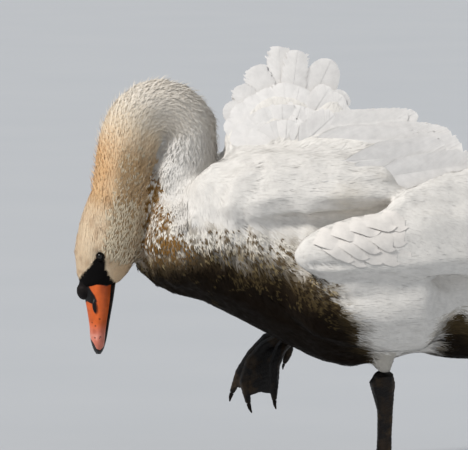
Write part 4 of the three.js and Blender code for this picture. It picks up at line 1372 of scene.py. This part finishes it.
def make_leg(word):
    nodes = [f"tarsus_{word}", f"foot_{word}"]
    solids = [cad_mesh(node) for node in nodes]
    v, f = remeshed([(v + 0.3 * vertex_normals(v, f), f) for v, f in solids], LEG_VOXEL, 5)
    rough = noise(v, 2.2, 3) * 0.5 + noise(v, 4.5, 4) * 0.5
    bands = np.sin(v @ np.array([0.55, 0.2, 1.0]) * 1.15)
    v = on_floor(v + vertex_normals(v, f) * (0.35 * (rough - 0.5) + 0.12 * bands)[:, None], word)
    # Lighter brown patches: partly mud, partly a painted sheen of the wet skin.
    mud_and_wet_sheen = smooth(0.5, 0.75, noise(v, 14, 8))
    colour = mix(LEG_BLACK, linear("#3f2f1c"), 0.45 * mud_and_wet_sheen)
    leg = mesh_object(f"leg_{word}", v, f, LEG, tint=colour)
    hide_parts(*nodes)
    for toe in TOES:
        name = f"claw_{toe}_{word}"
        v, f = remeshed([cad_mesh(name)], CLAW_VOXEL, 3)
        v = on_floor(v + vertex_normals(v, f) * 0.12, word)
        colour = mix(BLACK, linear("#3b3027"), 0.5 * noise(v, 2.5, 4))
        claw = mesh_object(f"toe_claw_{toe}_{word}", v, f, DARK_HORN, tint=colour)
        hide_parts(name)


for word in SIDES:
    make_leg(word)

# ---- floor, light and camera ----

FLOOR_RINGS = (400, 2500, 12000, 70000)
FLOOR_SIDES = 96
# The photo's view, from afar through a long lens: where it looks, from how far and how high (m, degrees).
AIM = Vector((0.1725, 0.0, 0.293))
DISTANCE, ELEVATION, LENS = 8.0, math.radians(4.5), 535


def make_floor():
    m = Nodes("studio_floor")
    grain = m.noise(3, 3.0)
    colour = m.blend((0.50, 0.52, 0.545, 1), (0.54, 0.555, 0.575, 1), grain)
    made = m.finish(colour, grain, (0.85, 0.95), Specular_IOR_Level=0.1)
    cos, sin = circle(FLOOR_SIDES)
    rings = [np.stack([r * cos, r * sin, 0 * cos], 1) for r in FLOOR_RINGS]
    first = np.arange(FLOOR_SIDES) + 1
    middle = np.stack([0 * first, first, np.roll(first, -1)], 1)
    outer = ring_quads(len(FLOOR_RINGS), FLOOR_SIDES)[:, ::-1] + 1
    mesh = bpy.data.meshes.new("floor")
    mesh.from_pydata((np.vstack([np.zeros(3), *rings]) * MM).tolist(), [], middle.tolist() + outer.tolist())
    mesh.materials.append(made)
    floor = bpy.data.objects.new("floor", mesh)
    bpy.context.scene.collection.objects.link(floor)


def sun(name, place, strength, width, colour=(1, 1, 1)):
    """A broad far lamp that shines from place towards the origin. width is its width in degrees."""
    data = bpy.data.lights.new(name, "SUN")
    data.energy = strength
    data.angle = math.radians(width)
    data.color = colour
    lamp = bpy.data.objects.new(name, data)
    lamp.rotation_euler = (-Vector(place)).to_track_quat("-Z", "Y").to_euler()
    bpy.context.scene.collection.objects.link(lamp)


def make_light():
    world = bpy.data.worlds.new("studio")
    world.use_nodes = True
    tree = world.node_tree
    back = tree.nodes["Background"]
    back.inputs["Strength"].default_value = 0.27
    back.inputs["Color"].default_value = (0.86, 0.92, 1.0, 1)
    shown = tree.nodes.new("ShaderNodeBackground")
    shown.inputs["Color"].default_value = (0.44, 0.455, 0.475, 1)
    path = tree.nodes.new("ShaderNodeLightPath")
    pick = tree.nodes.new("ShaderNodeMixShader")
    tree.links.new(path.outputs["Is Camera Ray"], pick.inputs[0])
    tree.links.new(back.outputs[0], pick.inputs[1])
    tree.links.new(shown.outputs[0], pick.inputs[2])
    tree.links.new(pick.outputs[0], tree.nodes["World Output"].inputs["Surface"])
    bpy.context.scene.world = world
    sun("key", (2.3, 1.35, 2.5), 2.8, 14, (1.0, 0.975, 0.94))
    sun("fill", (-1.6, 3.0, 1.0), 0.36, 60, (0.92, 0.96, 1.0))
    sun("rim", (-1.0, -2.4, 2.0), 0.6, 50)


def make_camera():
    data = bpy.data.cameras.new("camera")
    data.sensor_width = 36
    data.lens = LENS
    data.clip_start, data.clip_end = 0.5, 200
    camera = bpy.data.objects.new("camera", data)
    camera.location = AIM + Vector((0, math.cos(ELEVATION), math.sin(ELEVATION))) * DISTANCE
    camera.rotation_euler = (AIM - camera.location).to_track_quat("-Z", "Y").to_euler()
    bpy.context.scene.collection.objects.link(camera)
    bpy.context.scene.camera = camera


make_floor()
make_light()
make_camera()
bpy.context.scene.view_settings.view_transform = "Standard"
